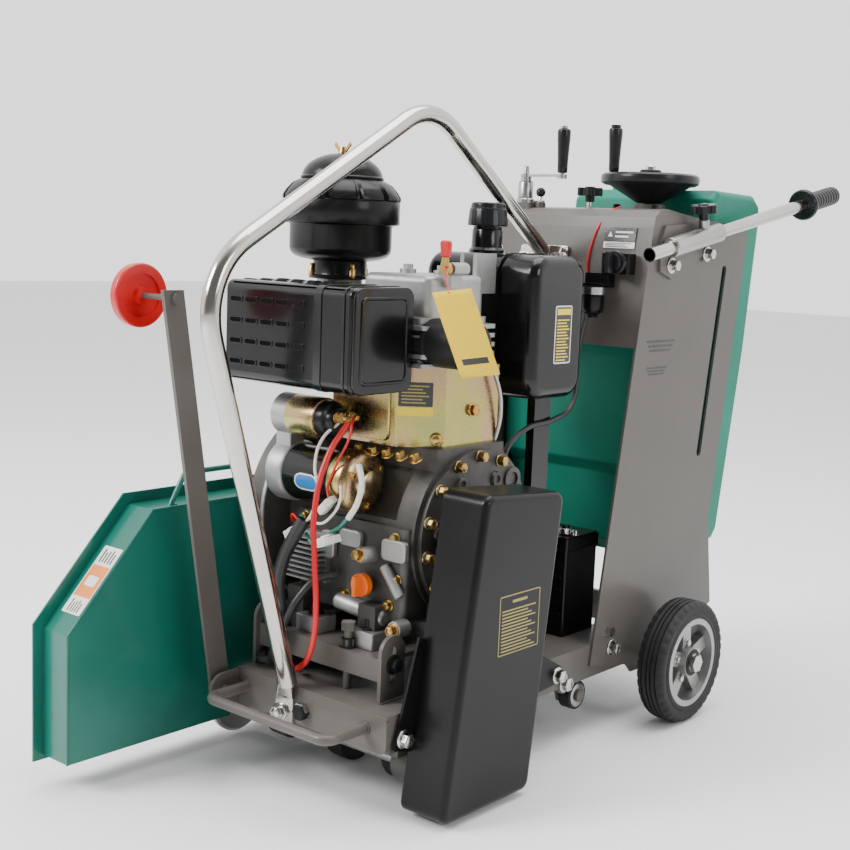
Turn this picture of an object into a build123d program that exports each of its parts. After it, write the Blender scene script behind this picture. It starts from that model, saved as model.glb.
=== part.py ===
from build123d import *
import math
import os

# Walk-behind concrete saw. Millimetres, +Z up, the front of the machine towards -Y.
# While modelling, x = 0 is the frame's middle plane, y = 0 the arbor axis and z = 0 the ground.
# save() then moves every piece so that the origin is under the middle of the whole machine.
BOX_MIDDLE_X = -15.0
BOX_MIDDLE_Y = 382.63

# Frame
RAIL_X = 146.0
PLATE = 4.0
DECK_TOP = 145.0
DECK_THICK = 5.0
DECK_BACK = 500.0
LIP_Y = -77.0
LIP_BOTTOM = 92.0

# Axes of the turning parts, each as (y, z)
ARBOR = (6.0, 57.0)
CRANK = (105.0, 335.0)
REAR_AXLE = (568.0, 100.0)
FRONT_AXLE = (62.0, 42.0)
CARRIAGE_PIVOT = (330.0, 98.0)
GUARD_PIVOT = (230.0, 130.0)
POINTER_PIVOT = (-106.0, 119.0)
ROLLER = (379.0, 66.0)

# Round sizes
ARBOR_R = 12.5
BLADE_BORE_R = 12.7
FLANGE_FACE = -240.0
RUN_GAP = 0.05
REAR_WHEEL_R = 100.0
REAR_HUB_R = 72.0
FRONT_WHEEL_R = 42.0
ENGINE_PULLEY_R = 36.0
ARBOR_PULLEY_R = 34.0
BELT_THICK = 8.0
BELT_GAP = 0.4
BELT_X = (172.0, 186.0, 200.0)
BELT_WIDTH = 9.0

# Engine
BASE_TOP = 204.0
BASE_BOTTOM = 172.0
CASE_TOP = 478.0
STARTER = (15.0, 426.0)
SOLENOID = (5.0, 509.0)
SHAFT_BOSS = (228.0, 422.0)
FLYWHEEL = (122.0, 358.0)
FLYWHEEL_R = 150.0

# Guard
GUARD_X = (-270.0, -212.0)
SHEET = 3.0

# Column and lifting gear
SCREW_X = 50.0
SCREW_Y = 648.0
WHEEL_TOP = 886.0
HANDWHEEL_R = 82.0

# Handles: the tube's axis runs up and back from HANDLE_FRONT at HANDLE_SLOPE degrees
HANDLE_X = 170.0
HANDLE_FRONT = (464.0, 754.0)
HANDLE_SLOPE = 10.66
HANDLE_R = 11.0


def save(name, label):
    """Moves the finished piece into the machine's own frame and writes its file."""
    placed = name.part.moved(Location((-BOX_MIDDLE_X, -BOX_MIDDLE_Y, 0)))
    placed.label = label
    export_step(placed, "parts/" + label + ".step")


# ------------------------------------------------------------------ shared shapes
def disc(plane, centre, radius):
    """A round profile on plane, at centre in the plane's own coordinates."""
    with BuildSketch(plane) as profile:
        with Locations(centre):
            Circle(radius)
    return profile.sketch


def rod_x(centre, radius, x_from, x_to, mode=Mode.ADD):
    """A round bar, or with Mode.SUBTRACT a hole, along X at centre = (y, z)."""
    extrude(disc(Plane.YZ.offset(x_from), centre, radius), amount=x_to - x_from, mode=mode)


def rod_y(centre, radius, y_from, y_to, mode=Mode.ADD):
    """The same along Y at centre = (x, z)."""
    extrude(disc(Plane.XZ.offset(-y_from), centre, radius), amount=-(y_to - y_from), mode=mode)


def rod_z(centre, radius, z_from, z_to, mode=Mode.ADD, top_radius=None):
    """The same along Z at centre = (x, y), tapered when top_radius is given."""
    bottom = disc(Plane.XY.offset(z_from), centre, radius)
    if top_radius is None:
        extrude(bottom, amount=z_to - z_from, mode=mode)
    else:
        loft([bottom.face(), disc(Plane.XY.offset(z_to), centre, top_radius).face()], mode=mode)


def block(x, y, z, mode=Mode.ADD, corner=0.0):
    """A block between the limits x, y and z, with its upright edges rounded by corner."""
    with BuildSketch(Plane.XY.offset(z[0])) as profile:
        with Locations(((x[0] + x[1]) / 2, (y[0] + y[1]) / 2)):
            if corner > 0:
                RectangleRounded(x[1] - x[0], y[1] - y[0], corner)
            else:
                Rectangle(x[1] - x[0], y[1] - y[0])
    extrude(profile.sketch, amount=z[1] - z[0], mode=mode)


def side_plate(outline, x_from, x_to, mode=Mode.ADD):
    """A plate across X whose outline is a list of (y, z) points."""
    with BuildSketch(Plane.YZ.offset(x_from)) as profile:
        with BuildLine():
            Polyline(*outline, close=True)
        make_face()
    extrude(profile.sketch, amount=x_to - x_from, mode=mode)


def hexagon(plane, centre, across):
    """A hexagon profile on plane, across flats, for bolt heads and nuts."""
    with BuildSketch(plane) as profile:
        with Locations(centre):
            RegularPolygon(across / 2, 6, major_radius=False)
    return profile.sketch


def hex_x(centre, across, x_from, x_to, mode=Mode.ADD):
    """A hexagon bolt head lying along X."""
    extrude(hexagon(Plane.YZ.offset(x_from), centre, across), amount=x_to - x_from, mode=mode)


def hex_z(centre, across, z_from, z_to, mode=Mode.ADD):
    """A hexagon nut standing along Z."""
    extrude(hexagon(Plane.XY.offset(z_from), centre, across), amount=z_to - z_from, mode=mode)


def hex_y(centre, across, y_from, y_to, mode=Mode.ADD):
    """A hexagon bolt head lying along Y."""
    extrude(hexagon(Plane.XZ.offset(-y_from), centre, across), amount=-(y_to - y_from), mode=mode)


def column_front_y(z):
    """The y of the column plates' front edge at height z."""
    return 393.0 + (z - 112.0) * 0.1628


def column_outline():
    """The side view of the column's plates, as (y, z) points from the lower front corner."""
    front = [(393, 112), (column_front_y(795), 795), (508, 812), (522, 823), (544, 826)]
    back = [(815, 795), (741, 305), (768, 149), (640, 92), (620, 76), (516, 76), (500, 92)]
    return front + back


# ------------------------------------------------------------------ chassis
def chassis_frame():
    with BuildPart() as frame:
        block((-RAIL_X, RAIL_X), (LIP_Y, DECK_BACK), (DECK_TOP - DECK_THICK, DECK_TOP))
        with BuildSketch(Plane.XZ.offset(-LIP_Y)):
            with Locations((0, (LIP_BOTTOM + DECK_TOP) / 2)):
                RectangleRounded(2 * RAIL_X, DECK_TOP - LIP_BOTTOM, 12)
        extrude(amount=-6)
        for side in (-1, 1):
            web = sorted((side * RAIL_X, side * (RAIL_X - 6)))
            flange = sorted((side * RAIL_X, side * (RAIL_X - 32)))
            block(web, (LIP_Y + 6, 700), (LIP_BOTTOM, DECK_TOP))
            block(flange, (LIP_Y + 6, 700), (LIP_BOTTOM, LIP_BOTTOM + 5))
            cheek = sorted((side * 114, side * 120))
            side_plate([(536, 80), (536, 120), (600, 120), (600, 80)], *cheek)
            outline = [(520, 97), (520, 78), (616, 78), (616, 97)]
            side_plate(outline, *web)
            rod_x(CARRIAGE_PIVOT, 16, *web)
        block((-RAIL_X, RAIL_X), (690, 700), (LIP_BOTTOM, DECK_TOP))
        for side in (-1, 1):
            web = sorted((side * (RAIL_X + 1), side * (RAIL_X - 7)))
            inner = sorted((side * 100, side * (RAIL_X - 6)))
            rod_x(CARRIAGE_PIVOT, 15, *inner, mode=Mode.SUBTRACT)
            rod_x(REAR_AXLE, 10.0, *sorted((side * 110, side * (RAIL_X + 1))), mode=Mode.SUBTRACT)
            rod_x(CARRIAGE_PIVOT, 8.0 + RUN_GAP, *web, mode=Mode.SUBTRACT)
        # slotted belt-tension brackets
        for x in (-152.0 + 6, 100.0):
            with BuildSketch(Plane.YZ.offset(x)):
                with BuildLine():
                    Polyline((-47, DECK_TOP - 1), (-47, 212), (1, 212), (1, DECK_TOP - 1), close=True)
                make_face()
                with Locations((-23, 212)):
                    Circle(24)
                with Locations((-23, 196)):
                    SlotOverall(52, 11, rotation=90, mode=Mode.SUBTRACT)
            extrude(amount=6)
        # bracket that carries the guard's pivot pin
        guard_arm = [(200, DECK_TOP - 2), (205, 112), (255, 112), (260, DECK_TOP - 2)]
        side_plate(guard_arm, -RAIL_X - 8, -RAIL_X)
        rod_x(GUARD_PIVOT, 14, GUARD_X[1] + 1, -RAIL_X - 4)
        rod_x(GUARD_PIVOT, 8, GUARD_X[1] - 7, GUARD_X[1] + 1)
        rod_x(GUARD_PIVOT, 13, GUARD_X[1] - 13, GUARD_X[1] - 4.5)
        # lug that carries the pointer's pivot bolt
        with BuildSketch(Plane.YZ.offset(-RAIL_X)):
            with Locations(POINTER_PIVOT):
                Circle(24)
            with Locations(((POINTER_PIVOT[0] + LIP_Y) / 2 + 1, POINTER_PIVOT[1])):
                Rectangle(abs(POINTER_PIVOT[0] - LIP_Y) + 2, 48)
        extrude(amount=6)
        rod_x(POINTER_PIVOT, 5, -RAIL_X - 13, -RAIL_X + 1)
        rod_x(POINTER_PIVOT, 9, -RAIL_X - 19, -RAIL_X - 12.5)
        hex_x(POINTER_PIVOT, 13, -RAIL_X + 6, -RAIL_X + 12)
        # guide roller's cheek and pin
        cheek = [(350, LIP_BOTTOM + 1), (362, 55), (396, 55), (408, LIP_BOTTOM + 1)]
        side_plate(cheek, 110, 115)
        rod_x(ROLLER, 6, 114, 141)
        rod_x(ROLLER, 10, 140.5, 145)
        # tube bumper welded to the front lip
        left, right, front, height = -124.0, 108.0, -150.0, 121.0
        with BuildLine():
            FilletPolyline(
                (left, LIP_Y + 2, height), (left, front, height), (right, front, height),
                (right, LIP_Y + 2, height), radius=16,
            )
        with BuildSketch(Plane(origin=(left, LIP_Y + 2, height), z_dir=(0, -1, 0))):
            Circle(7.5)
        sweep()
    save(frame, "chassis_frame")


def lifting_bail():
    x = -30.0
    radius = 13.0
    foot = (x, -87, 150)
    with BuildPart() as bail:
        with BuildLine() as path:
            FilletPolyline(
                foot, (x, -257, 713), (x, 172, 962), (x, 470, 747),
                radius=[110, 95],
            )
        with BuildSketch(Plane(origin=foot, z_dir=path.line % 0)):
            Circle(radius)
            Circle(radius - 2, mode=Mode.SUBTRACT)
        sweep()
        # pressed foot
        with BuildSketch(Plane.XZ.offset(-LIP_Y)):
            with Locations((x - 12, 112)):
                RectangleRounded(34, 52, 10)
        extrude(amount=5)
        slope = (0, -0.285, 1)
        with BuildSketch(Plane(origin=(x, -92, 168), x_dir=(1, 0, 0), z_dir=slope)):
            Circle(radius - 0.5)
        with BuildSketch(Plane(origin=(x - 12, -81.5, 128), x_dir=(1, 0, 0), z_dir=slope)):
            Ellipse(17, 3.5)
        loft()
        # mounting plate on the column
        face_y = column_front_y(742) - 2.1
        with BuildSketch(Plane(origin=(-48, face_y, 742), z_dir=(0, -1, 0.1628), x_dir=(1, 0, 0))):
            RectangleRounded(94, 40, 4)
        extrude(amount=5)
        block((x - 14, x + 14), (458, face_y - 2), (734, 762), corner=6)
    save(bail, "lifting_bail")


def column_side_plates():
    with BuildPart() as plates:
        for x_from in (-RAIL_X - PLATE, RAIL_X):
            side_plate(column_outline(), x_from, x_from + PLATE)
            with BuildSketch(Plane.YZ.offset(x_from)):
                with Locations((716, 578)):
                    SlotOverall(326, 14, rotation=81.4)
            extrude(amount=PLATE, mode=Mode.SUBTRACT)
            rod_x(REAR_AXLE, 10.0, x_from - 1, x_from + PLATE + 1, mode=Mode.SUBTRACT)
    save(plates, "column_side_plates")


def column_cover():
    lower = 608.0
    outside = [(column_front_y(lower), lower), (column_front_y(795), 795), (508, 812), (522, 823), (544, 826),
               (692, 810)]
    inside = [(692, 807), (545, 823), (524, 820), (511, 810), (column_front_y(794) + 3, 794),
              (column_front_y(lower) + 3, lower)]
    with BuildPart() as cover:
        side_plate(outside + inside, -RAIL_X, RAIL_X)
        # bearing boss under the handwheel, and the hole for the lifting screw
        rod_z((SCREW_X, SCREW_Y), 27, 806, 836)
        rod_z((SCREW_X, SCREW_Y), 11.2, 780, 850, mode=Mode.SUBTRACT)
        # crank box and the sockets of the small controls
        block((-150 + 5, -103), (520, 560), (818, 832), corner=4)
        rod_z((-128, 540), 12, 830, 868)
        rod_z((-128, 540), 6.05, 815, 880, mode=Mode.SUBTRACT)
        rod_z((-96, 540), 9, 818, 832)
        rod_z((-96, 540), 3.05, 800, 840, mode=Mode.SUBTRACT)
        rod_z((-10, 560), 4.05, 800, 840, mode=Mode.SUBTRACT)
    save(cover, "column_cover")


def water_tank():
    outline = [(565, 258), (548, 280), (546, 392), (526, 412), (520, 590), (530, 730), (556, 780),
               (696, 780), (704, 848), (722, 864), (850, 861), (872, 845), (878, 825), (850, 591),
               (795, 275), (780, 257)]
    with BuildPart() as tank:
        side_plate(outline, -141, 141)
        fillet(tank.edges().filter_by(Axis.X), radius=7)
        fillet(tank.faces().sort_by(Axis.X)[0].edges(), radius=12)
        fillet(tank.faces().sort_by(Axis.X)[-1].edges(), radius=12)
        with BuildSketch(Plane.YZ.offset(-136)) as inside:
            with BuildLine():
                Polyline(*outline, close=True)
            make_face()
            offset(amount=-5, kind=Kind.INTERSECTION)
        extrude(inside.sketch, amount=272, mode=Mode.SUBTRACT)
        rod_z((SCREW_X, SCREW_Y), 30, 262, 782)
        # moulded tunnel for the lifting rod
        rod_z((SCREW_X, SCREW_Y), 26, 240, 800, mode=Mode.SUBTRACT)
        # filler neck and outlet spigot
        rod_z((-80, 790), 30, 858, 874)
        rod_y((-90, 290), 15, 795, 802)
        rod_y((-90, 290), 9, 800, 830)
        rod_y((-90, 290), 6, 760, 840, mode=Mode.SUBTRACT)
    save(tank, "water_tank")


def belt_cover():
    def outline(inset):
        return [(-50 + inset, 8 + inset), (18 + inset, 440 - inset), (194 - inset, 426 - inset),
                (140 - inset, 8 + inset)]
    with BuildPart() as cover:
        side_plate(outline(0), 150, 224)
        fillet(cover.edges().filter_by(Axis.X), radius=16)
        fillet(cover.faces().sort_by(Axis.X)[-1].edges(), radius=9)
        with BuildSketch(Plane.YZ.offset(150)) as hollow:
            with BuildLine():
                Polyline(*outline(3.5), close=True)
            make_face()
            fillet(hollow.vertices(), radius=12)
        extrude(amount=70, mode=Mode.SUBTRACT)
        # ears that bolt to the left rail
        side_plate([(-35, 90), (-70, 100), (-26, 245), (-11, 240)], 150, 154)
        side_plate([(163.5, 210), (308, 132), (308, 108), (149, 96)], 150, 154)
        for centre in ((-52, 112), (298, 120)):
            rod_x(centre, 4.5, 149, 155, mode=Mode.SUBTRACT)
    save(cover, "belt_cover")


# ------------------------------------------------------------------ engine
def engine_base():
    with BuildPart() as base:
        block((-140, 100), (-40, 290), (BASE_TOP - 6, BASE_TOP))
        block((-140, 100), (-40, -34), (BASE_BOTTOM, BASE_TOP - 3))
        block((-140, 100), (284, 290), (BASE_BOTTOM - 27, BASE_TOP - 3))
        # jack bolts that set the belt tension
        for x in (-110, 27):
            rod_z((x, -29), 6, DECK_TOP, BASE_TOP + 34)
            hex_z((x, -29), 18, BASE_TOP, BASE_TOP + 12)
            hex_z((x, -29), 18, BASE_TOP + 24, BASE_TOP + 36)
        # clamp bolts through the slotted brackets
        for x_from, x_to in ((97, 114.5), (-154.5, -137)):
            rod_x((-23, 196), 5, x_from, x_to)
        for washer, head in ((106.2, 108.2), (-148.2, -154.2)):
            rod_x((-23, 196), 11, washer, washer + 2)
            hex_x((-23, 196), 16, head, head + 6)
    save(base, "engine_base")


def crankcase():
    with BuildPart() as case:
        # rounded housing seen from the drive side
        with BuildSketch(Plane.YZ.offset(-148)):
            with Locations((150, 352)):
                Circle(128)
            with Locations((150, 300)):
                Rectangle(180, 130)
            with Locations((140, 440)):
                Rectangle(150, 76)
        extrude(amount=243)
        block((-120, 90), (14, 70), (240, 372), corner=10)
        # feet
        for x in (-98, 42):
            for y in (0, 240):
                block((x - 20, x + 20), (y - 19, y + 19), (BASE_TOP, BASE_TOP + 22))
                block((x - 16, x + 16), (min(y, 60) - 10, max(y, 60) + 14), (BASE_TOP + 18, 262))
        split(bisect_by=Plane.XY.offset(CASE_TOP), keep=Keep.BOTTOM)
        split(bisect_by=Plane.XY.offset(BASE_TOP), keep=Keep.TOP)
        block((-136, 82), (76, 226), (240, 440), mode=Mode.SUBTRACT, corner=20)
        # starter seat, so that the motor clears the block
        rod_x(STARTER, 47, -151, 60, mode=Mode.SUBTRACT)
        rod_x(SOLENOID, 32, -151, 0, mode=Mode.SUBTRACT)
        # bearing boss and bore of the crankshaft
        rod_x(CRANK, 34, 90, 112)
        rod_x(SHAFT_BOSS, 18, 90, 106)
        rod_x(SHAFT_BOSS, 11, 98, 107, mode=Mode.SUBTRACT)
        rod_x(CRANK, 17.55, 40, 120, mode=Mode.SUBTRACT)
        # oil filler neck
        rod_y((25, 287), 12, 2, 16)
        # bolted cover on the drive side
        with BuildSketch(Plane.YZ.offset(94.5)):
            with Locations((150, 352)):
                Circle(120)
            with Locations((150, 290)):
                Rectangle(176, 110)
            with Locations(CRANK):
                Circle(33, mode=Mode.SUBTRACT)
        extrude(amount=8)
        for degrees in range(-60, 241, 25):
            angle = math.radians(degrees)
            centre = (150 + 111 * math.cos(angle), 352 + 111 * math.sin(angle))
            if centre[1] > 245 and math.dist(centre, SHAFT_BOSS) > 30:
                rod_x(centre, 8, 102, 107)
                hex_x(centre, 12, 106, 113)
    save(case, "crankcase")


def flywheel_housing():
    with BuildPart() as housing:
        rod_x(FLYWHEEL, FLYWHEEL_R, -198, -149)
        chamfer(housing.faces().sort_by(Axis.X)[0].edges(), length=14)
        rod_x(FLYWHEEL, FLYWHEEL_R - 26, -204, -190)
        for degrees in range(0, 360, 30):
            angle = math.radians(degrees)
            centre = (FLYWHEEL[0] + 80 * math.cos(angle), FLYWHEEL[1] + 80 * math.sin(angle))
            rod_x(centre, 13, -206, -196, mode=Mode.SUBTRACT)
    save(housing, "flywheel_housing")


def cylinder_shroud():
    with BuildPart() as shroud:
        with BuildSketch(Plane.XY.offset(CASE_TOP)):
            with BuildLine():
                Polyline((-92, 45), (34, 45), (86, 90), (86, 214), (-92, 214), close=True)
            make_face()
        extrude(amount=112)
        fillet(shroud.edges().filter_by(Axis.Z), radius=6)
        block((-88, 70), (92, 210), (CASE_TOP - 1, CASE_TOP + 108), mode=Mode.SUBTRACT)
        # the solenoid's clearance and the drive-side bolt
        rod_x(SOLENOID, 32, -93, -20, mode=Mode.SUBTRACT)
        hex_x((150, 528), 13, 86, 93)
    save(shroud, "cylinder_shroud")


def cylinder_head():
    with BuildPart() as head:
        base = CASE_TOP + 112
        for level in range(5):
            z = base + level * 13
            block((-88, 80), (48, 208), (z, z + 6), corner=8)
        block((-78, 70), (56, 200), (base, base + 68), corner=12)
        # intake elbow that carries the air cleaner
        block((-185, -64.5), (78, 150), (648, 692), corner=18)
        rod_z((-150, 115), 34, 690, 702)
        # exhaust flange behind the muffler
        block((-60, 20), (46.5, 60), (606, 646))
    save(head, "cylinder_head")


def rocker_cover():
    with BuildPart() as cover:
        block((-64, 66), (70, 196), (658, 716), corner=16)
        fillet(cover.faces().sort_by(Axis.Z)[-1].edges(), radius=10)
        for x in (-30, 34):
            rod_z((x, 133), 12, 712, 722)
            hex_z((x, 133), 13, 722, 729)
        # decompression boss
        rod_y((80, 726), 9, 96, 128)
        block((58, 80), (98, 124), (700, 726), corner=3)
        rod_y((80, 726), 4.05, 80, 140, mode=Mode.SUBTRACT)
        # lifting ears beside the tank
        for x in (20, 44):
            block((x, x + 7), (190, 236), (690, 748))
    save(cover, "rocker_cover")


def decompression_lever():
    with BuildPart() as lever:
        rod_y((80, 726), 4, 90, 127)
        rod_y((80, 726), 8, 84, 90)
        with BuildSketch(Plane.XZ.offset(-89)):
            with BuildLine():
                Polyline((74, 722), (86, 722), (92, 752), (80, 754), close=True)
            make_face()
        extrude(amount=4)
        block((78, 95), (80, 94), (750, 776), corner=4)
    save(lever, "decompression_lever")


def muffler():
    with BuildPart() as box:
        block((-188, 57), (-72, 44), (558, 700))
        fillet(box.edges().filter_by(Axis.X), radius=14)
        fillet(box.faces().sort_by(Axis.X)[-1].edges(), radius=6)
        block((-185, 54), (-69, 41), (561, 697), mode=Mode.SUBTRACT, corner=10)
        block((-60, 20), (43, 46.5), (606, 646))
    save(box, "muffler")


def air_cleaner_bowl():
    centre = (-150, 115)
    with BuildPart() as bowl:
        rod_z(centre, 48, 702, 727)
        rod_z(centre, 62, 727, 742, top_radius=76)
        rod_z(centre, 76, 742, 776)
        rod_z(centre, 87, 776, 842)
        chamfer(bowl.faces().sort_by(Axis.Z)[-1].edges(), length=4)
    save(bowl, "air_cleaner_bowl")


def air_cleaner_lid():
    centre = (-150, 115)
    with BuildPart() as lid:
        rod_z(centre, 84, 842, 864, top_radius=62)
        rod_z(centre, 58, 864, 886, top_radius=26)
        rod_z(centre, 3.0, 886, 900)
        for degrees in range(0, 360, 30):
            angle = math.radians(degrees)
            spot = (centre[0] + 80 * math.cos(angle), centre[1] + 80 * math.sin(angle))
            rod_z(spot, 6, 840, 870, mode=Mode.SUBTRACT)
    save(lid, "air_cleaner_lid")


def wing_nut():
    with BuildPart() as nut:
        rod_z((-150, 115), 7, 886.4, 895, top_radius=5)
        for side in (-1, 1):
            outline = [(-150 + side * 3, 888), (-150 + side * 14, 902), (-150 + side * 17, 898),
                       (-150 + side * 6, 887)]
            with BuildSketch(Plane.XZ.offset(-113)):
                with BuildLine():
                    Polyline(*outline, close=True)
                make_face()
            extrude(amount=-3)
        rod_z((-150, 115), 3.05, 880, 910, mode=Mode.SUBTRACT)
    save(nut, "wing_nut")


def fuel_tank():
    with BuildPart() as tank:
        block((-95, 118), (244, 376), (536, 748))
        fillet(tank.edges().filter_by(Axis.X), radius=32)
        fillet(tank.faces().sort_by(Axis.X)[-1].edges(), radius=16)
        fillet(tank.faces().sort_by(Axis.X)[0].edges(), radius=16)
        block((-91, 114), (249, 371), (560, 730), mode=Mode.SUBTRACT, corner=20)
        # pressed seam between the two halves
        block((48, 51), (242, 378), (534, 750))
        fillet(tank.edges().filter_by(Axis.X).filter_by(lambda edge: edge.length < 3.5), radius=30)
        rod_z((-28, 312), 22, 742, 788)
        rod_z((-28, 312), 18, 758, 790, mode=Mode.SUBTRACT)
        # legs down to the engine
        block((-80, -66), (290, 330), (CASE_TOP - 90, 540))
        block((80, 94), (290, 330), (CASE_TOP - 90, 540))
        block((-80, 94), (275, 330), (CASE_TOP - 96, CASE_TOP - 88))
    save(tank, "fuel_tank")


def fuel_cap():
    with BuildPart() as cap:
        rod_z((-28, 312), 17.9, 768, 790)
        rod_z((-28, 312), 30, 788.4, 824, top_radius=26)
        fillet(cap.faces().sort_by(Axis.Z)[-1].edges(), radius=4)
        for degrees in range(0, 360, 40):
            angle = math.radians(degrees)
            rod_z((-28 + 31 * math.cos(angle), 312 + 31 * math.sin(angle)), 4, 785, 812, mode=Mode.SUBTRACT)
    save(cap, "fuel_cap")


def starter_motor():
    with BuildPart() as starter:
        rod_x(STARTER, 45, -148, -118)
        rod_x(STARTER, 40, -118, -24)
        rod_x(STARTER, 45, -24, 22)
        rod_x(STARTER, 14, 22, 34)
        block((-148, -118), (-12, 20), (426, 510))
        # solenoid with its two terminals
        rod_x(SOLENOID, 30, -146, -42)
        rod_x(SOLENOID, 24, -42, -28)
        for y in (-7, 15):
            rod_x((y, 515), 5, -28, -10)
            hex_x((y, 515), 12, -24, -18)
    save(starter, "starter_motor")


def voltage_regulator():
    with BuildPart() as regulator:
        block((-118, -54), (6, 14), (272, 344))
        for level in range(9):
            z = 276 + level * 7.5
            block((-118, -54), (-14, 6.2), (z, z + 2.6))
    save(regulator, "voltage_regulator")


def oil_filler_cap():
    with BuildPart() as cap:
        rod_y((25, 287), 16, -8, 1.6)
        block((22, 28), (-20, -7), (273, 301))
    save(cap, "oil_filler_cap")


# ------------------------------------------------------------------ belt drive
def grooved_wheel(centre, radius):
    """The rim and grooves shared by both pulleys."""
    rod_x(centre, radius + BELT_THICK - 1, 164, 208)
    for x in BELT_X:
        rod_x(centre, radius + 20, x - BELT_WIDTH / 2 - 0.5, x + BELT_WIDTH / 2 + 0.5, mode=Mode.SUBTRACT)
    rod_x(centre, radius, 164, 208)


def engine_pulley():
    with BuildPart() as wheel:
        grooved_wheel(CRANK, ENGINE_PULLEY_R)
        # the crankshaft's end that carries it
        rod_x(CRANK, 17.5, 44, 116)
        rod_x(CRANK, 12.5, 116, 214)
    save(wheel, "engine_pulley")


def arbor_pulley():
    with BuildPart() as wheel:
        grooved_wheel(ARBOR, ARBOR_PULLEY_R)
        rod_x(ARBOR, ARBOR_R, 160, 212, mode=Mode.SUBTRACT)
    save(wheel, "arbor_pulley")


def belt_loop(x, beyond):
    """The outline round both pulleys, at a distance beyond their groove floors."""
    ends = ((CRANK, ENGINE_PULLEY_R + beyond), (ARBOR, ARBOR_PULLEY_R + beyond))
    run_y, run_z = ARBOR[0] - CRANK[0], ARBOR[1] - CRANK[1]
    lean = math.acos((ends[0][1] - ends[1][1]) / math.hypot(run_y, run_z))
    corners = []
    for side in (1, -1):
        angle = math.atan2(run_z, run_y) + side * lean
        touch = [(centre[0] + size * math.cos(angle), centre[1] + size * math.sin(angle))
                 for centre, size in ends]
        corners.extend(touch if side == 1 else touch[::-1])
    with BuildSketch(Plane.YZ.offset(x - BELT_WIDTH / 2)) as loop:
        with BuildLine():
            Polyline(*corners, close=True)
        make_face()
        for centre, size in ends:
            with Locations(centre):
                Circle(size)
    return loop.sketch


def drive_belts():
    with BuildPart() as belts:
        for x in BELT_X:
            outer = belt_loop(x, BELT_THICK)
            inner = belt_loop(x, BELT_GAP)
            extrude(outer, amount=BELT_WIDTH)
            extrude(inner, amount=BELT_WIDTH, mode=Mode.SUBTRACT)
    save(belts, "drive_belts")


def arbor_shaft():
    with BuildPart() as shaft:
        rod_x(ARBOR, ARBOR_R, FLANGE_FACE, 214)
        rod_x(ARBOR, BLADE_BORE_R, -262, FLANGE_FACE)
        chamfer(shaft.faces().sort_by(Axis.X)[0].edges(), length=1)
    save(shaft, "arbor_shaft")


def blade_flange():
    with BuildPart() as flange:
        rod_x(ARBOR, 52, FLANGE_FACE, -229)
        chamfer(flange.faces().sort_by(Axis.X)[-1].edges(), length=4)
        rod_x(ARBOR, 24, -229, -219)
        rod_x(ARBOR, ARBOR_R, FLANGE_FACE - 1, -210, mode=Mode.SUBTRACT)
    save(flange, "blade_flange")


def arbor_bearings():
    with BuildPart() as bearings:
        for low, high in ((-138, -108), (108, 138)):
            rod_x(ARBOR, 30, low, high)
            block((low, high), (-44, 44), (78, LIP_BOTTOM))
            rod_x(ARBOR, ARBOR_R + RUN_GAP, low - 1, high + 1, mode=Mode.SUBTRACT)
    save(bearings, "arbor_bearings")


# ------------------------------------------------------------------ guard and pointer
def blade_guard():
    outline = [(-319, 43), (-319, 223), (-179, 377), (240, 377), (272, 340), (272, 43)]
    rim = [(-334, 36), (-334, 230), (-186, 393), (246, 393), (288, 346), (288, 36)]
    with BuildPart() as guard:
        side_plate(outline, *GUARD_X)
        side_plate([(-316, 0), (-316, 222), (-177.6, 374), (238.6, 374), (269, 339), (269, 0)],
                   GUARD_X[0], GUARD_X[1] - SHEET, mode=Mode.SUBTRACT)
        side_plate(rim, GUARD_X[0] - SHEET, GUARD_X[0])
        # way out for the arbor as the guard swings up
        side_plate([(-30, 40), (-30, 60), (-16, 84), (16, 84), (46, 60), (60, 40)],
                   GUARD_X[1] - 4, GUARD_X[1] + 1, mode=Mode.SUBTRACT)
        rod_x(GUARD_PIVOT, 8 + RUN_GAP, GUARD_X[1] - 4, GUARD_X[1] + 1, mode=Mode.SUBTRACT)
        # bent-rod handle
        with BuildLine():
            FilletPolyline(
                (-226, -140, 372), (-226, -112, 421), (-226, -6, 421), (-226, 22, 372),
                radius=12,
            )
        with BuildSketch(Plane(origin=(-226, -140, 372), z_dir=(0, 28, 49))):
            Circle(4)
        sweep()
    save(guard, "blade_guard")


def pointer_arm():
    top = (-196.0, 686.0)
    bottom = (-99.0, 104.0)
    half = 17.0
    with BuildPart() as arm:
        outline = [(bottom[0] - half, bottom[1]), (top[0] - half, top[1]), (top[0] + half, top[1]),
                   (bottom[0] + half, bottom[1])]
        side_plate(outline, -158.5, -152.5)
        rod_x(POINTER_PIVOT, 5 + RUN_GAP, -160, -150, mode=Mode.SUBTRACT)
        # spindle of the sighting wheel
        rod_x((-194, 675), 4, -240, -158.5)
        hex_x((-194, 675), 13, -152.5, -146)
        hex_x((-194, 675), 13, -165, -158.5)
        rod_x((-194, 675), 8, -243, -239)
    save(arm, "pointer_arm")


def pointer_wheel():
    centre = (-194, 675)
    with BuildPart() as wheel:
        rod_x(centre, 44, -236, -222)
        fillet(wheel.edges(), radius=3)
        rod_x(centre, 30, -225, -221, mode=Mode.SUBTRACT)
        rod_x(centre, 12, -236, -217)
        rod_x(centre, 4 + RUN_GAP, -240, -210, mode=Mode.SUBTRACT)
    save(wheel, "pointer_wheel")


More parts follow.
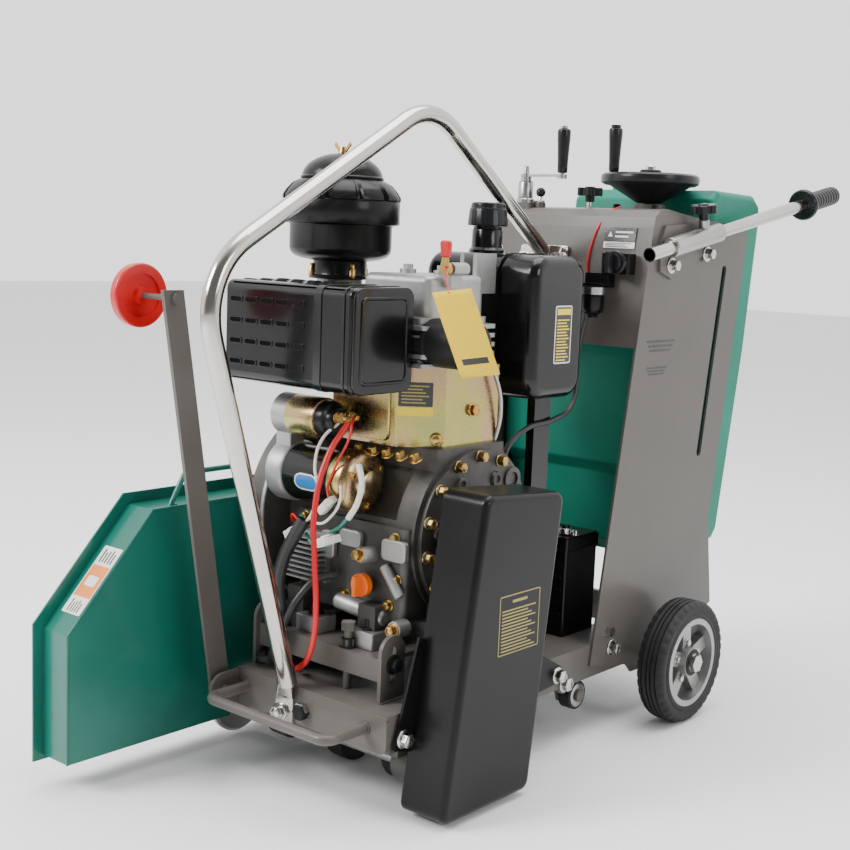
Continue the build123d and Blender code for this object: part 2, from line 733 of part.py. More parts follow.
# ------------------------------------------------------------------ lifting gear
def handwheel():
    with BuildPart() as wheel:
        rod_z((SCREW_X, SCREW_Y), HANDWHEEL_R, WHEEL_TOP - 18, WHEEL_TOP)
        fillet(wheel.edges(), radius=7)
        rod_z((SCREW_X, SCREW_Y), HANDWHEEL_R - 16, WHEEL_TOP - 4, WHEEL_TOP + 2, mode=Mode.SUBTRACT)
        rod_z((SCREW_X, SCREW_Y), 20, 838, WHEEL_TOP - 18, top_radius=70)
        # lifting screw with its thrust collar
        rod_z((SCREW_X, SCREW_Y), 10, 805, WHEEL_TOP + 6)
        rod_z((SCREW_X, SCREW_Y), 16, 793, 805)
        rod_z((SCREW_X, SCREW_Y), 8, 560, 793)
        rod_z((SCREW_X, SCREW_Y), 11.15, 805, 836)
        rod_z((SCREW_X - 47, SCREW_Y - 40), 5, WHEEL_TOP - 6, 962)
        rod_z((SCREW_X - 47, SCREW_Y - 40), 8, 961, 965)
    save(wheel, "handwheel")


def handwheel_grip():
    centre = (SCREW_X - 47, SCREW_Y - 40)
    with BuildPart() as grip:
        rod_z(centre, 9, WHEEL_TOP + 0.3, 960, top_radius=12)
        rod_z(centre, 5 + RUN_GAP, WHEEL_TOP - 5, 965, mode=Mode.SUBTRACT)
    save(grip, "handwheel_grip")


def lift_rod():
    with BuildPart() as rod:
        rod_z((SCREW_X, SCREW_Y), 15, 600, 650)
        rod_z((SCREW_X, SCREW_Y), 12, 250, 600)
        rod_z((SCREW_X, SCREW_Y), 8.05, 470, 651, mode=Mode.SUBTRACT)
        rod_z((SCREW_X, SCREW_Y), 9, 126, 250)
        block((SCREW_X - 9, SCREW_X + 9), (SCREW_Y - 7, SCREW_Y + 7), (112, 128))
    save(rod, "lift_rod")


def front_carriage():
    with BuildPart() as carriage:
        rod_x(CARRIAGE_PIVOT, 8, -RAIL_X - 6, RAIL_X + 6)
        rod_x(CARRIAGE_PIVOT, 13, -RAIL_X + 7, RAIL_X - 7)
        arm = [(FRONT_AXLE[0] - 12, FRONT_AXLE[1] - 8), (FRONT_AXLE[0] - 12, FRONT_AXLE[1] + 12),
               (300, 108), (342, 108), (342, 86), (300, 80), (FRONT_AXLE[0] + 12, FRONT_AXLE[1] - 10)]
        for x in (-24, 42, 86):
            side_plate(arm, x, x + 5)
        side_plate(arm, -75, -70)
        rod_x(FRONT_AXLE, 7, -75, 91)
        lever = [(320, 90), (320, 105), (SCREW_Y + 12, 105), (SCREW_Y + 12, 90)]
        side_plate(lever, SCREW_X - 20, SCREW_X - 13)
        side_plate(lever, SCREW_X + 13, SCREW_X + 20)
        block((SCREW_X - 14, SCREW_X + 14), (500, 512), (91, 104))
        rod_x((SCREW_Y, 98), 5, SCREW_X - 14, SCREW_X + 14)
    save(carriage, "front_carriage")


def front_wheel(label, x_from, x_to):
    with BuildPart() as wheel:
        rod_x(FRONT_AXLE, FRONT_WHEEL_R, x_from, x_to)
        fillet(wheel.edges(), radius=4)
        for low, high in ((x_from, x_from + 4), (x_to - 4, x_to)):
            rod_x(FRONT_AXLE, 27, low, high, mode=Mode.SUBTRACT)
            rod_x(FRONT_AXLE, 14, low, high)
        rod_x(FRONT_AXLE, 7 + RUN_GAP, x_from - 1, x_to + 1, mode=Mode.SUBTRACT)
    save(wheel, label)


def guide_roller():
    with BuildPart() as roller:
        rod_x(ROLLER, 23, 117, 139)
        fillet(roller.edges(), radius=2.5)
        rod_x(ROLLER, 6 + RUN_GAP, 115, 141, mode=Mode.SUBTRACT)
    save(roller, "guide_roller")


# ------------------------------------------------------------------ small controls
def throttle_crank():
    centre = (-128, 540)
    with BuildPart() as crank:
        rod_z(centre, 6, 822, 878)
        rod_z(centre, 9, 868.4, 880)
        block((-128, -54), (535, 545), (876, 880))
        rod_z((-54, 540), 8, 873, 880)
        rod_z((-54, 540), 3.5, 880, 956)
        rod_z((-54, 540), 6, 955.5, 959)
    save(crank, "throttle_crank")


def crank_grip():
    with BuildPart() as grip:
        rod_z((-54, 540), 9, 881, 955, top_radius=11)
        rod_z((-54, 540), 3.5 + RUN_GAP, 880, 957, mode=Mode.SUBTRACT)
    save(grip, "crank_grip")


def stop_knob():
    with BuildPart() as knob:
        rod_z((-96, 540), 3, 812, 846)
        with Locations((-96, 540, 850)):
            Sphere(8)
    save(knob, "stop_knob")


def star_knob(label, plane, stud_length):
    """A six-lobed clamping knob on a stud, standing on plane with the stud below it."""
    with BuildPart() as knob:
        with BuildSketch(plane.offset(10)):
            Circle(17)
            with PolarLocations(17, 6):
                Circle(5.5)
        extrude(amount=13)
        with BuildSketch(plane):
            Circle(8)
        extrude(amount=11)
        with BuildSketch(plane.offset(-stud_length)):
            Circle(4)
        extrude(amount=stud_length + 2)
    save(knob, label)


def handle_point(along, up=0.0):
    """(y, z) of a point on the handle, along its axis and up square to it."""
    angle = math.radians(HANDLE_SLOPE)
    return (HANDLE_FRONT[0] + along * math.cos(angle) - up * math.sin(angle),
            HANDLE_FRONT[1] + along * math.sin(angle) + up * math.cos(angle))


def handle_plane(side, along, up=0.0):
    """A plane square to the handle's axis, facing back along it."""
    y, z = handle_point(along, up)
    angle = math.radians(HANDLE_SLOPE)
    direction = (0, math.cos(angle), math.sin(angle))
    return Plane(origin=(side * HANDLE_X, y, z), x_dir=(1, 0, 0), z_dir=direction)


def handle_rod(side, radius, start, stop, mode=Mode.ADD):
    """A round bar, or a hole, along the handle's axis."""
    extrude(disc(handle_plane(side, start), (0, 0), radius), amount=stop - start, mode=mode)


def handle_brackets():
    with BuildPart() as brackets:
        for side in (-1, 1):
            low, high = sorted((side * (RAIL_X + PLATE), side * (RAIL_X + PLATE + 5)))
            side_plate([(524, 728), (520, 772), (534, 800), (700, 812), (706, 776), (560, 716)], low, high)
            handle_rod(side, 15.5, 64, 212)
            inner, outer = sorted((side * (RAIL_X + PLATE + 4), side * HANDLE_X))
            side_plate([handle_point(80, -8), handle_point(196, -8), handle_point(196, 8), handle_point(80, 8)],
                       inner, outer)
            handle_rod(side, HANDLE_R + 0.3, 60, 216, mode=Mode.SUBTRACT)
            plane = knob_plane(side)
            with BuildSketch(plane.offset(-14)):
                Circle(8)
            extrude(amount=13)
            with BuildSketch(plane.offset(-22)):
                Circle(4.05)
            extrude(amount=24, mode=Mode.SUBTRACT)
            for centre in ((555, 740), (666, 760)):
                head = side * (RAIL_X + PLATE + 5)
                with BuildSketch(Plane.YZ.offset(min(head, head + side * 7))):
                    with Locations(centre):
                        RegularPolygon(8, 6)
                extrude(amount=7)
    save(brackets, "handle_brackets")


def knob_plane(side):
    """The seat of a handle's clamping knob, on top of its sleeve."""
    y, z = handle_point(168, 29)
    angle = math.radians(HANDLE_SLOPE)
    normal = (0, -math.sin(angle), math.cos(angle))
    return Plane(origin=(side * HANDLE_X, y, z), x_dir=(1, 0, 0), z_dir=normal)


def handle_tube(label, side):
    with BuildPart() as tube:
        handle_rod(side, HANDLE_R, 0, 640)
        handle_rod(side, HANDLE_R - 2, -1, 636, mode=Mode.SUBTRACT)
    save(tube, label)


def handle_grip(label, side):
    with BuildPart() as grip:
        handle_rod(side, 28, 521, 529)
        fillet(grip.edges(), radius=3)
        handle_rod(side, 16.5, 521, 644)
        fillet(grip.faces().sort_by(Axis.Y)[-1].edges(), radius=4)
        handle_rod(side, HANDLE_R, 510, 640, mode=Mode.SUBTRACT)
    save(grip, label)


# ------------------------------------------------------------------ electrics and fuel
def battery():
    with BuildPart() as case:
        block((-24, 92), (396, 484), (DECK_TOP, 306), corner=4)
        block((-26, 94), (394, 486), (286, 304), corner=4)
        for x in (-4, 72):
            rod_z((x, 420), 7, 306, 322)
    save(case, "battery")


def fuel_filter():
    with BuildPart() as body:
        rod_z((72, 461), 20, 688, 702)
        rod_z((72, 461), 16, 660, 688)
        rod_z((72, 461), 9, 654, 660)
        block((50, 94), (450, 478), (702, 706))
        y = column_front_y(700)
        block((50, 94), (470, y - 0.2), (700, 722))
    save(body, "fuel_filter")


def ignition_switch():
    y = column_front_y(722)
    with BuildPart() as body:
        block((80, 130), (y - 26, y - 0.2), (722, 754), corner=4)
        rod_y((112, 740), 17, y - 32, y - 25)
        rod_y((112, 740), 4.05, y - 40, y - 12, mode=Mode.SUBTRACT)
    save(body, "ignition_switch")


def ignition_knob():
    y = column_front_y(722)
    with BuildPart() as knob:
        rod_y((112, 740), 4, y - 36, y - 14)
        rod_y((112, 740), 14, y - 44, y - 32.4)
        block((109, 115), (y - 58, y - 43), (724, 756))
    save(knob, "ignition_knob")


def cable(points, radius):
    """A cable clipped along its whole route, as straight runs joined by large arcs."""
    corners = [Vector(*point) for point in points]
    radii = []
    for before, here, after in zip(corners, corners[1:], corners[2:]):
        turn = math.radians((here - before).get_angle(after - here))
        shorter = min((here - before).length, (after - here).length)
        radii.append(0.45 * shorter / math.tan(turn / 2))
    with BuildPart() as run:
        with BuildLine() as path:
            FilletPolyline(*points, radius=radii)
        with BuildSketch(Plane(origin=points[0], z_dir=path.line % 0)):
            Circle(radius)
        sweep()
    length = sum(edge.length for edge in path.edges())
    ratio = run.part.volume / (math.pi * radius ** 2 * length)
    print("cable radii", [round(size, 1) for size in radii], "volume ratio", round(ratio, 4))
    return run.part


def battery_cables():
    red = cable([(-4, -9, 511), (-6, -44, 470), (-4, -70, 400), (6, -78, 330), (16, -82, 270),
                 (14, -82, 222), (-4, -76, 190), (-26, -66, 172), (-46, -54, 160), (-58, -36, 151.5)], 4.2)
    black = cable([(-30, 3, 290), (-44, -20, 286), (-58, -44, 262), (-70, -56, 228), (-84, -60, 194),
                   (-98, -54, 170), (-112, -42, 154.5)], 6.0)
    with BuildPart() as cables:
        add(red)
        add(black)
    save(cables, "battery_cables")


# ------------------------------------------------------------------ rear wheels
def rear_axle():
    with BuildPart() as axle:
        for low, high in ((-236, -110), (110, 236)):
            rod_x(REAR_AXLE, 9.95, low, high)
        for low, high in ((-243, -235.4), (235.4, 243)):
            hex_x(REAR_AXLE, 26, low, high)
    save(axle, "rear_axle")


def rear_hub(label, side):
    with BuildPart() as hub:
        low, high = sorted((side * 186, side * 233))
        rod_x(REAR_AXLE, REAR_HUB_R, low, high)
        rod_x(REAR_AXLE, REAR_HUB_R - 9, low - 1, high + 1, mode=Mode.SUBTRACT)
        rod_x(REAR_AXLE, 24, low, high)
        middle = side * 213
        with BuildSketch(Plane.YZ.offset(middle - 8)):
            with Locations(REAR_AXLE):
                with PolarLocations((REAR_HUB_R + 12) / 2, 5, start_angle=20):
                    Rectangle(REAR_HUB_R - 18, 24)
        extrude(amount=16)
        rod_x(REAR_AXLE, 10.0, low - 1, high + 1, mode=Mode.SUBTRACT)
    save(hub, label)


def rear_tyre(label, side):
    low, high = sorted((side * 186, side * 234))
    with BuildPart() as tyre:
        rod_x(REAR_AXLE, REAR_WHEEL_R, low, high)
        fillet(tyre.edges(), radius=9)
        rod_x(REAR_AXLE, REAR_HUB_R, low - 1, high + 1, mode=Mode.SUBTRACT)
    save(tyre, label)


def frame_bolts():
    with BuildPart() as bolts:
        hex_y((-8, 116), 20, LIP_Y - 9, LIP_Y)
        hex_y((-47, 104), 17, LIP_Y - 13, LIP_Y - 5)
        for centre in ((-52, 112), (298, 120)):
            hex_x(centre, 17, 154, 163)
        for centre in ((451, 131), (440, 300 - 140)):
            hex_x(centre, 15, RAIL_X + PLATE, RAIL_X + PLATE + 8)
            hex_x(centre, 15, -RAIL_X - PLATE - 8, -RAIL_X - PLATE)
    save(bolts, "frame_bolts")


def build_all():
    chassis_frame()
    lifting_bail()
    column_side_plates()
    column_cover()
    water_tank()
    belt_cover()
    engine_base()
    crankcase()
    flywheel_housing()
    cylinder_shroud()
    cylinder_head()
    rocker_cover()
    decompression_lever()
    muffler()
    air_cleaner_bowl()
    air_cleaner_lid()
    wing_nut()
    fuel_tank()
    fuel_cap()
    starter_motor()
    voltage_regulator()
    oil_filler_cap()
    engine_pulley()
    arbor_pulley()
    drive_belts()
    arbor_shaft()
    blade_flange()
    arbor_bearings()
    blade_guard()
    pointer_arm()
    pointer_wheel()
    handwheel()
    handwheel_grip()
    lift_rod()
    front_carriage()
    front_wheel("front_wheel_right", -64, -29)
    front_wheel("front_wheel_left", 49, 84)
    guide_roller()
    throttle_crank()
    crank_grip()
    stop_knob()
    star_knob("column_knob", Plane.XY.offset(836).shift_origin((-10, 560, 836)), 24)
    handle_brackets()
    for side, word in ((1, "left"), (-1, "right")):
        handle_tube("handle_tube_" + word, side)
        handle_grip("handle_grip_" + word, side)
        star_knob("handle_knob_" + word, knob_plane(side), 15)
        rear_hub("rear_hub_" + word, side)
        rear_tyre("rear_tyre_" + word, side)
    rear_axle()
    battery()
    fuel_filter()
    ignition_switch()
    ignition_knob()
    battery_cables()
    frame_bolts()


os.makedirs("parts", exist_ok=True)
build_all()
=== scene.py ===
import math

import bmesh
import bpy
from mathutils import Matrix, Vector


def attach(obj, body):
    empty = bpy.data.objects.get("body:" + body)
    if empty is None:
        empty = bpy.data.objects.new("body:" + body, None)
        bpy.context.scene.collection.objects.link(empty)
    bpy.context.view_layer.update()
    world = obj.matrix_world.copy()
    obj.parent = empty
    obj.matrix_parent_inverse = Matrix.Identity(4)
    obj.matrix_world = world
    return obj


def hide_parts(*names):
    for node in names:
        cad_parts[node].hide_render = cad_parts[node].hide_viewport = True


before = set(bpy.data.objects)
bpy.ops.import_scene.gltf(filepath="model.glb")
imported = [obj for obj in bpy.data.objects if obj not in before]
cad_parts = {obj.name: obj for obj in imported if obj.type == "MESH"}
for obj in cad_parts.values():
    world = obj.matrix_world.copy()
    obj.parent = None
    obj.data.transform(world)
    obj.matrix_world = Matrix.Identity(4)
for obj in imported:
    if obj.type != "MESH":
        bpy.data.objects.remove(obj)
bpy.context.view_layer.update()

# The machine's own coordinates in millimetres: x from the frame's middle plane, y from the blade
# arbor towards the operator, z from the ground. at() turns them into metres in the shared frame.
MIDDLE_X, MIDDLE_Y = -15.0, 382.63

# Places on the machine: axes across it as (y, z), and the air cleaner's upright axis as (x, y)
REAR_AXLE = (568, 100)
CASE_MIDDLE = (150, 352)
SHAFT_BOSS = (228, 422)
CRANK = (105, 335)
FLYWHEEL = (122, 358)
STARTER = (15, 426)
SOLENOID = (5, 509)
AIR_CLEANER = (-150, 115)
CASE_FACE = 102.2

# Upright axes, as a point on each
COLUMN_KNOB = (-10, 560, 0)
LIFT_WHEEL = (50, 648, 0)
CRANK_POST = (-128, 540, 0)
FUEL_FILLER = (-28, 312, 0)
FUEL_FILTER = (72, 461, 0)

# Directions: towards the belt side, the blade side, the front, the operator, up
DRIVE, BLADE = (1, 0, 0), (-1, 0, 0)
FRONT, BACK = (0, -1, 0), (0, 1, 0)
UP = (0, 0, 1)

# The column's front cover leans towards the operator by this much for each mm up
COVER_SLOPE = 0.1628
COVER_NORMAL = Vector((0, -1, COVER_SLOPE)).normalized()


def at(x, y, z):
    return Vector(((x - MIDDLE_X) / 1000, (y - MIDDLE_Y) / 1000, z / 1000))


def cover_y(z):
    """Where the column's front cover is, at height z."""
    return 393 + (z - 112) * COVER_SLOPE


def around_axis(axis, radius, angle):
    """The two coordinates of a point at radius and angle round an axis."""
    return axis[0] + radius * math.cos(angle), axis[1] + radius * math.sin(angle)


# ---------------------------------------------------------------- camera
def make_camera():
    turn, pitch, roll = math.radians(40.4), math.radians(7.9), math.radians(2.2)
    forward = Vector((-math.sin(turn) * math.cos(pitch), math.cos(turn) * math.cos(pitch), -math.sin(pitch)))
    right = Vector((math.cos(turn), math.sin(turn), 0))
    up = right.cross(forward)
    side = right * math.cos(roll) + up * math.sin(roll)
    top = up * math.cos(roll) - right * math.sin(roll)
    data = bpy.data.cameras.new("camera")
    data.sensor_width = 36.0
    data.lens = 57.73
    data.clip_end = 50
    camera = bpy.data.objects.new("camera", data)
    bpy.context.scene.collection.objects.link(camera)
    place = at(1280.5, -1355.9, 770)
    camera.matrix_world = Matrix((
        (side.x, top.x, -forward.x, place.x), (side.y, top.y, -forward.y, place.y),
        (side.z, top.z, -forward.z, place.z), (0, 0, 0, 1)))
    bpy.context.scene.camera = camera


make_camera()


# ---------------------------------------------------------------- materials
def material(name, colour, rough, metallic=0.0, vary=0.12, patch=9.0, grain=500.0, bump=0.06,
             rough_vary=0.08, coat=0.0, stretch=(1, 1, 1), tints=None, dust=0.0, depth=0.0004):
    """Uneven colour, uneven gloss and a fine grain. stretch lengthens the grain along an axis, tints
    replaces the plain variation with a run of colours, and dust lightens the upper faces."""
    made = bpy.data.materials.new(name)
    made.use_nodes = True
    nodes, links = made.node_tree.nodes, made.node_tree.links
    shader = nodes["Principled BSDF"]
    shader.inputs["Metallic"].default_value = metallic
    shader.inputs["Coat Weight"].default_value = coat
    shader.inputs["Coat Roughness"].default_value = 0.12
    place = nodes.new("ShaderNodeTexCoord")
    broad = nodes.new("ShaderNodeTexNoise")
    broad.inputs["Scale"].default_value = patch
    broad.inputs["Detail"].default_value = 5
    broad.inputs["Roughness"].default_value = 0.6
    links.new(place.outputs["Object"], broad.inputs["Vector"])
    ramp = nodes.new("ShaderNodeValToRGB")
    stops = tints or [[c * (1 - vary) for c in colour], [min(1, c * (1 + vary)) for c in colour]]
    ramp.color_ramp.elements[0].position = 0.3
    ramp.color_ramp.elements[1].position = 0.7
    ramp.color_ramp.elements[0].color = (*stops[0], 1)
    ramp.color_ramp.elements[1].color = (*stops[-1], 1)
    for count, stop in enumerate(stops[1:-1]):
        middle = ramp.color_ramp.elements.new(0.3 + 0.4 * (count + 1) / (len(stops) - 1))
        middle.color = (*stop, 1)
    links.new(broad.outputs["Fac"], ramp.inputs["Fac"])
    colour_out = ramp.outputs["Color"]
    if dust > 0:
        shape = nodes.new("ShaderNodeNewGeometry")
        split = nodes.new("ShaderNodeSeparateXYZ")
        links.new(shape.outputs["Normal"], split.inputs["Vector"])
        speck = nodes.new("ShaderNodeTexNoise")
        speck.inputs["Scale"].default_value = 70
        speck.inputs["Detail"].default_value = 6
        links.new(place.outputs["Object"], speck.inputs["Vector"])
        lift = nodes.new("ShaderNodeMapRange")
        lift.inputs["From Min"].default_value = 0.2
        lift.inputs["From Max"].default_value = 1.0
        lift.inputs["To Max"].default_value = dust * 2
        links.new(split.outputs["Z"], lift.inputs["Value"])
        amount = nodes.new("ShaderNodeMath")
        amount.operation = "MULTIPLY"
        links.new(lift.outputs["Result"], amount.inputs[0])
        links.new(speck.outputs["Fac"], amount.inputs[1])
        layer = nodes.new("ShaderNodeMix")
        layer.data_type = "RGBA"
        links.new(amount.outputs["Value"], layer.inputs["Factor"])
        links.new(colour_out, layer.inputs["A"])
        layer.inputs["B"].default_value = (0.45, 0.43, 0.4, 1)
        colour_out = layer.outputs["Result"]
    links.new(colour_out, shader.inputs["Base Color"])
    mapping = nodes.new("ShaderNodeMapping")
    mapping.inputs["Scale"].default_value = stretch
    links.new(place.outputs["Object"], mapping.inputs["Vector"])
    fine = nodes.new("ShaderNodeTexNoise")
    fine.inputs["Scale"].default_value = grain
    fine.inputs["Detail"].default_value = 3
    links.new(mapping.outputs["Vector"], fine.inputs["Vector"])
    gloss = nodes.new("ShaderNodeMapRange")
    gloss.inputs["To Min"].default_value = max(0.03, rough - rough_vary)
    gloss.inputs["To Max"].default_value = min(1, rough + rough_vary)
    mixed = nodes.new("ShaderNodeMath")
    mixed.operation = "ADD"
    half = nodes.new("ShaderNodeMath")
    half.operation = "MULTIPLY"
    half.inputs[1].default_value = 0.5
    links.new(broad.outputs["Fac"], mixed.inputs[0])
    links.new(fine.outputs["Fac"], mixed.inputs[1])
    links.new(mixed.outputs["Value"], half.inputs[0])
    links.new(half.outputs["Value"], gloss.inputs["Value"])
    links.new(gloss.outputs["Result"], shader.inputs["Roughness"])
    relief = nodes.new("ShaderNodeBump")
    relief.inputs["Strength"].default_value = bump
    relief.inputs["Distance"].default_value = depth
    links.new(fine.outputs["Fac"], relief.inputs["Height"])
    links.new(relief.outputs["Normal"], shader.inputs["Normal"])
    return made


GREY = material("grey_enamel", (0.095, 0.086, 0.077), 0.4, vary=0.07, grain=260, bump=0.10, coat=0.15,
                dust=0.06)
GREEN_DARK = material("guard_green_enamel", (0.003, 0.125, 0.09), 0.3, vary=0.10, grain=240, bump=0.08,
                      coat=0.3)
GREEN_TANK = material("tank_green_polyethylene", (0.005, 0.19, 0.125), 0.42, vary=0.12, grain=320, bump=0.22,
                      rough_vary=0.1)
BLACK_GLOSS = material("black_gloss_enamel", (0.004, 0.004, 0.0045), 0.2, vary=0.3, grain=180, bump=0.06,
                       coat=0.3, rough_vary=0.06)
BLACK_MATT = material("black_matt_enamel", (0.011, 0.011, 0.012), 0.46, vary=0.3, grain=420, bump=0.25)
MOULDED = material("black_moulding", (0.005, 0.0048, 0.0048), 0.3, vary=0.3, grain=700, bump=0.2, coat=0.08,
                   dust=0.015)
KNOB = material("black_phenolic", (0.01, 0.0105, 0.012), 0.3, vary=0.2, grain=500, bump=0.05, coat=0.12)
RUBBER = material("black_rubber", (0.02, 0.02, 0.02), 0.62, vary=0.25, grain=600, bump=0.3, rough_vary=0.1)
TYRE = material("tyre_rubber", (0.022, 0.022, 0.023), 0.7, vary=0.35, patch=14, grain=500, bump=0.35,
                rough_vary=0.12, dust=0.04)
STAINLESS = material("polished_tube", (0.56, 0.53, 0.49), 0.15, metallic=1.0, vary=0.06, grain=160, bump=0.04,
                     rough_vary=0.07)
STEEL = material("machined_steel", (0.4, 0.39, 0.375), 0.32, metallic=1.0, vary=0.1, grain=300, bump=0.1,
                 rough_vary=0.12)
ZINC = material("bright_zinc", (0.58, 0.57, 0.54), 0.26, metallic=1.0, vary=0.1, grain=400, bump=0.06)
GOLD = material("passivated_zinc", (0.6, 0.42, 0.16), 0.3, metallic=1.0, vary=0.1, patch=40, grain=400,
                bump=0.06, tints=[(0.5, 0.24, 0.07), (0.52, 0.34, 0.11), (0.38, 0.33, 0.12)])
IRIDESCENT = material("iridescent_zinc_sheet", (0.6, 0.5, 0.25), 0.27, metallic=1.0, patch=7, grain=220,
                      bump=0.05, tints=[(0.34, 0.36, 0.13), (0.44, 0.38, 0.12), (0.47, 0.31, 0.19),
                                        (0.42, 0.4, 0.15)])
CAST = material("cast_aluminium", (0.36, 0.36, 0.355), 0.42, metallic=0.75, vary=0.14, patch=22, grain=900,
                bump=0.5, rough_vary=0.12, depth=0.0006)
IRON = material("dark_casting", (0.075, 0.072, 0.067), 0.4, metallic=0.5, vary=0.3, patch=18, grain=800,
                bump=0.55, rough_vary=0.12, dust=0.05, depth=0.0007)
RED = material("red_moulding", (0.55, 0.005, 0.007), 0.3, vary=0.08, grain=500, bump=0.08, coat=0.2)
ORANGE = material("orange_moulding", (0.8, 0.14, 0.006), 0.35, vary=0.08, grain=500, bump=0.1, coat=0.15)
WIRE_RED = material("red_sheath", (0.55, 0.007, 0.01), 0.36, vary=0.1, patch=30, grain=300, bump=0.1)
WIRE_BLACK = material("black_sheath", (0.018, 0.018, 0.018), 0.42, vary=0.3, patch=40, grain=300, bump=0.2)
WIRE_WHITE = material("white_sheath", (0.75, 0.74, 0.68), 0.38, vary=0.06, patch=30, grain=300, bump=0.1)
WIRE_GREEN = material("green_sheath", (0.01, 0.22, 0.15), 0.38, vary=0.08, patch=30, grain=300, bump=0.1)
LABEL_WHITE = material("white_film", (0.78, 0.77, 0.74), 0.32, vary=0.04, grain=200, bump=0.04, coat=0.2)
LABEL_BLACK = material("black_film", (0.015, 0.015, 0.015), 0.28, vary=0.1, grain=200, bump=0.04, coat=0.2)
LABEL_YELLOW = material("yellow_film", (0.82, 0.62, 0.006), 0.34, vary=0.05, grain=200, bump=0.04, coat=0.2)
LABEL_GOLD = material("gold_print", (0.3, 0.24, 0.06), 0.4, vary=0.12, grain=300, bump=0.04)
LABEL_ORANGE = material("orange_film", (0.8, 0.22, 0.02), 0.34, vary=0.05, grain=200, bump=0.04, coat=0.2)
LABEL_BLUE = material("blue_film", (0.02, 0.18, 0.5), 0.3, vary=0.05, grain=200, bump=0.04, coat=0.2)
CARD = material("yellow_card", (0.82, 0.54, 0.012), 0.6, vary=0.05, grain=260, bump=0.12)
# near-black, almost unreflective finish laid inside slots and holes: painted shade where openings look dark
OPENING_SHADE = material("painted_opening_shade", (0.004, 0.004, 0.004), 0.8, vary=0.2, grain=300, bump=0.1)
for dull, level in ((OPENING_SHADE, 0.05), (MOULDED, 0.18), (BLACK_GLOSS, 0.25), (BLACK_MATT, 0.2), (IRON, 0.3),
                    (KNOB, 0.22), (RUBBER, 0.25), (TYRE, 0.3), (GREEN_TANK, 0.22), (GREEN_DARK, 0.35),
                    (GREY, 0.3)):
    dull.node_tree.nodes["Principled BSDF"].inputs["Specular IOR Level"].default_value = level

FINISH = {
    GREY: "chassis_frame column_side_plates column_cover engine_base pointer_arm handle_brackets",
    STAINLESS: "lifting_bail handle_tube_left handle_tube_right",
    GREEN_TANK: "water_tank",
    GREEN_DARK: "blade_guard",
    MOULDED: "belt_cover battery fuel_filter ignition_switch",
    IRON: "crankcase flywheel_housing arbor_bearings",
    IRIDESCENT: "cylinder_shroud",
    CAST: "cylinder_head rocker_cover starter_motor voltage_regulator rear_hub_left rear_hub_right",
    BLACK_GLOSS: "muffler fuel_tank",
    BLACK_MATT: "air_cleaner_bowl air_cleaner_lid",
    GOLD: "wing_nut",
    ZINC: "frame_bolts rear_axle",
    STEEL: "engine_pulley arbor_pulley arbor_shaft blade_flange lift_rod front_carriage throttle_crank",
    KNOB: "fuel_cap handwheel handwheel_grip crank_grip stop_knob column_knob handle_knob_left"
          " handle_knob_right ignition_knob",
    RUBBER: "drive_belts handle_grip_left handle_grip_right front_wheel_left front_wheel_right guide_roller",
    TYRE: "rear_tyre_left rear_tyre_right",
    RED: "pointer_wheel decompression_lever",
    ORANGE: "oil_filler_cap",
    WIRE_RED: "battery_cables",
}


def paint_frame():
    for finish, names in FINISH.items():
        for name in names.split():
            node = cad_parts[name]
            if node.material_slots:
                for holder in node.material_slots:
                    holder.material = finish
            else:
                node.data.materials.append(finish)


paint_frame()


# ---------------------------------------------------------------- mesh building
def upright(direction):
    """Two directions square to this one."""
    direction = Vector(direction).normalized()
    helper = Vector(UP) if abs(direction.z) < 0.9 else Vector(DRIVE)
    first = helper.cross(direction).normalized()
    return first, direction.cross(first).normalized()


def add_turned(bm, profile, origin, direction, around=40, wave=None, finish=0):
    """Turns (radius, distance) points, in mm, round direction from origin, given in machine mm.
    wave(index, step) may scale the radius of a point as it goes round."""
    origin = Vector(origin)
    direction = Vector(direction).normalized()
    first, second = upright(direction)
    rings = []
    for index, (radius, along) in enumerate(profile):
        middle = origin + direction * along
        if radius < 0.001:
            rings.append([bm.verts.new(at(*middle))])
            continue
        ring = []
        for step in range(around):
            angle = 2 * math.pi * step / around
            size = radius * (wave(index, step) if wave else 1.0)
            spot = middle + (first * math.cos(angle) + second * math.sin(angle)) * size
            ring.append(bm.verts.new(at(*spot)))
        rings.append(ring)
    for low, high in zip(rings, rings[1:]):
        for step in range(around):
            after = (step + 1) % around
            corners = [low[step % len(low)], low[after % len(low)], high[after % len(high)],
                       high[step % len(high)]]
            face = bm.faces.new(list(dict.fromkeys(corners)))
            face.material_index = finish


def disc(radius, height):
    """The turned profile of a plain disc or rod."""
    return [(0, 0), (radius, 0), (radius, height), (0, height)]


def add_prism(bm, outline, origin, x_dir, normal, thickness, finish=0):
    """Extrudes a flat outline of (u, v) mm points along normal from origin, in machine mm."""
    origin, x_dir, normal = Vector(origin), Vector(x_dir).normalized(), Vector(normal).normalized()
    y_dir = normal.cross(x_dir)
    low = [bm.verts.new(at(*(origin + x_dir * u + y_dir * v))) for u, v in outline]
    high = [bm.verts.new(at(*(origin + x_dir * u + y_dir * v + normal * thickness))) for u, v in outline]
    faces = [bm.faces.new(low[::-1]), bm.faces.new(high)]
    for step in range(len(outline)):
        after = (step + 1) % len(outline)
        faces.append(bm.faces.new((low[step], low[after], high[after], high[step])))
    for face in faces:
        face.material_index = finish


def rounded(width, height, radius, steps=5):
    """The outline of a rectangle with round corners, about its middle."""
    points = []
    for sx, sy, start in ((1, 1, 0), (-1, 1, 90), (-1, -1, 180), (1, -1, 270)):
        for step in range(steps + 1):
            angle = math.radians(start + 90 * step / steps)
            points.append((sx * (width / 2 - radius) + radius * math.cos(angle),
                           sy * (height / 2 - radius) + radius * math.sin(angle)))
    return points


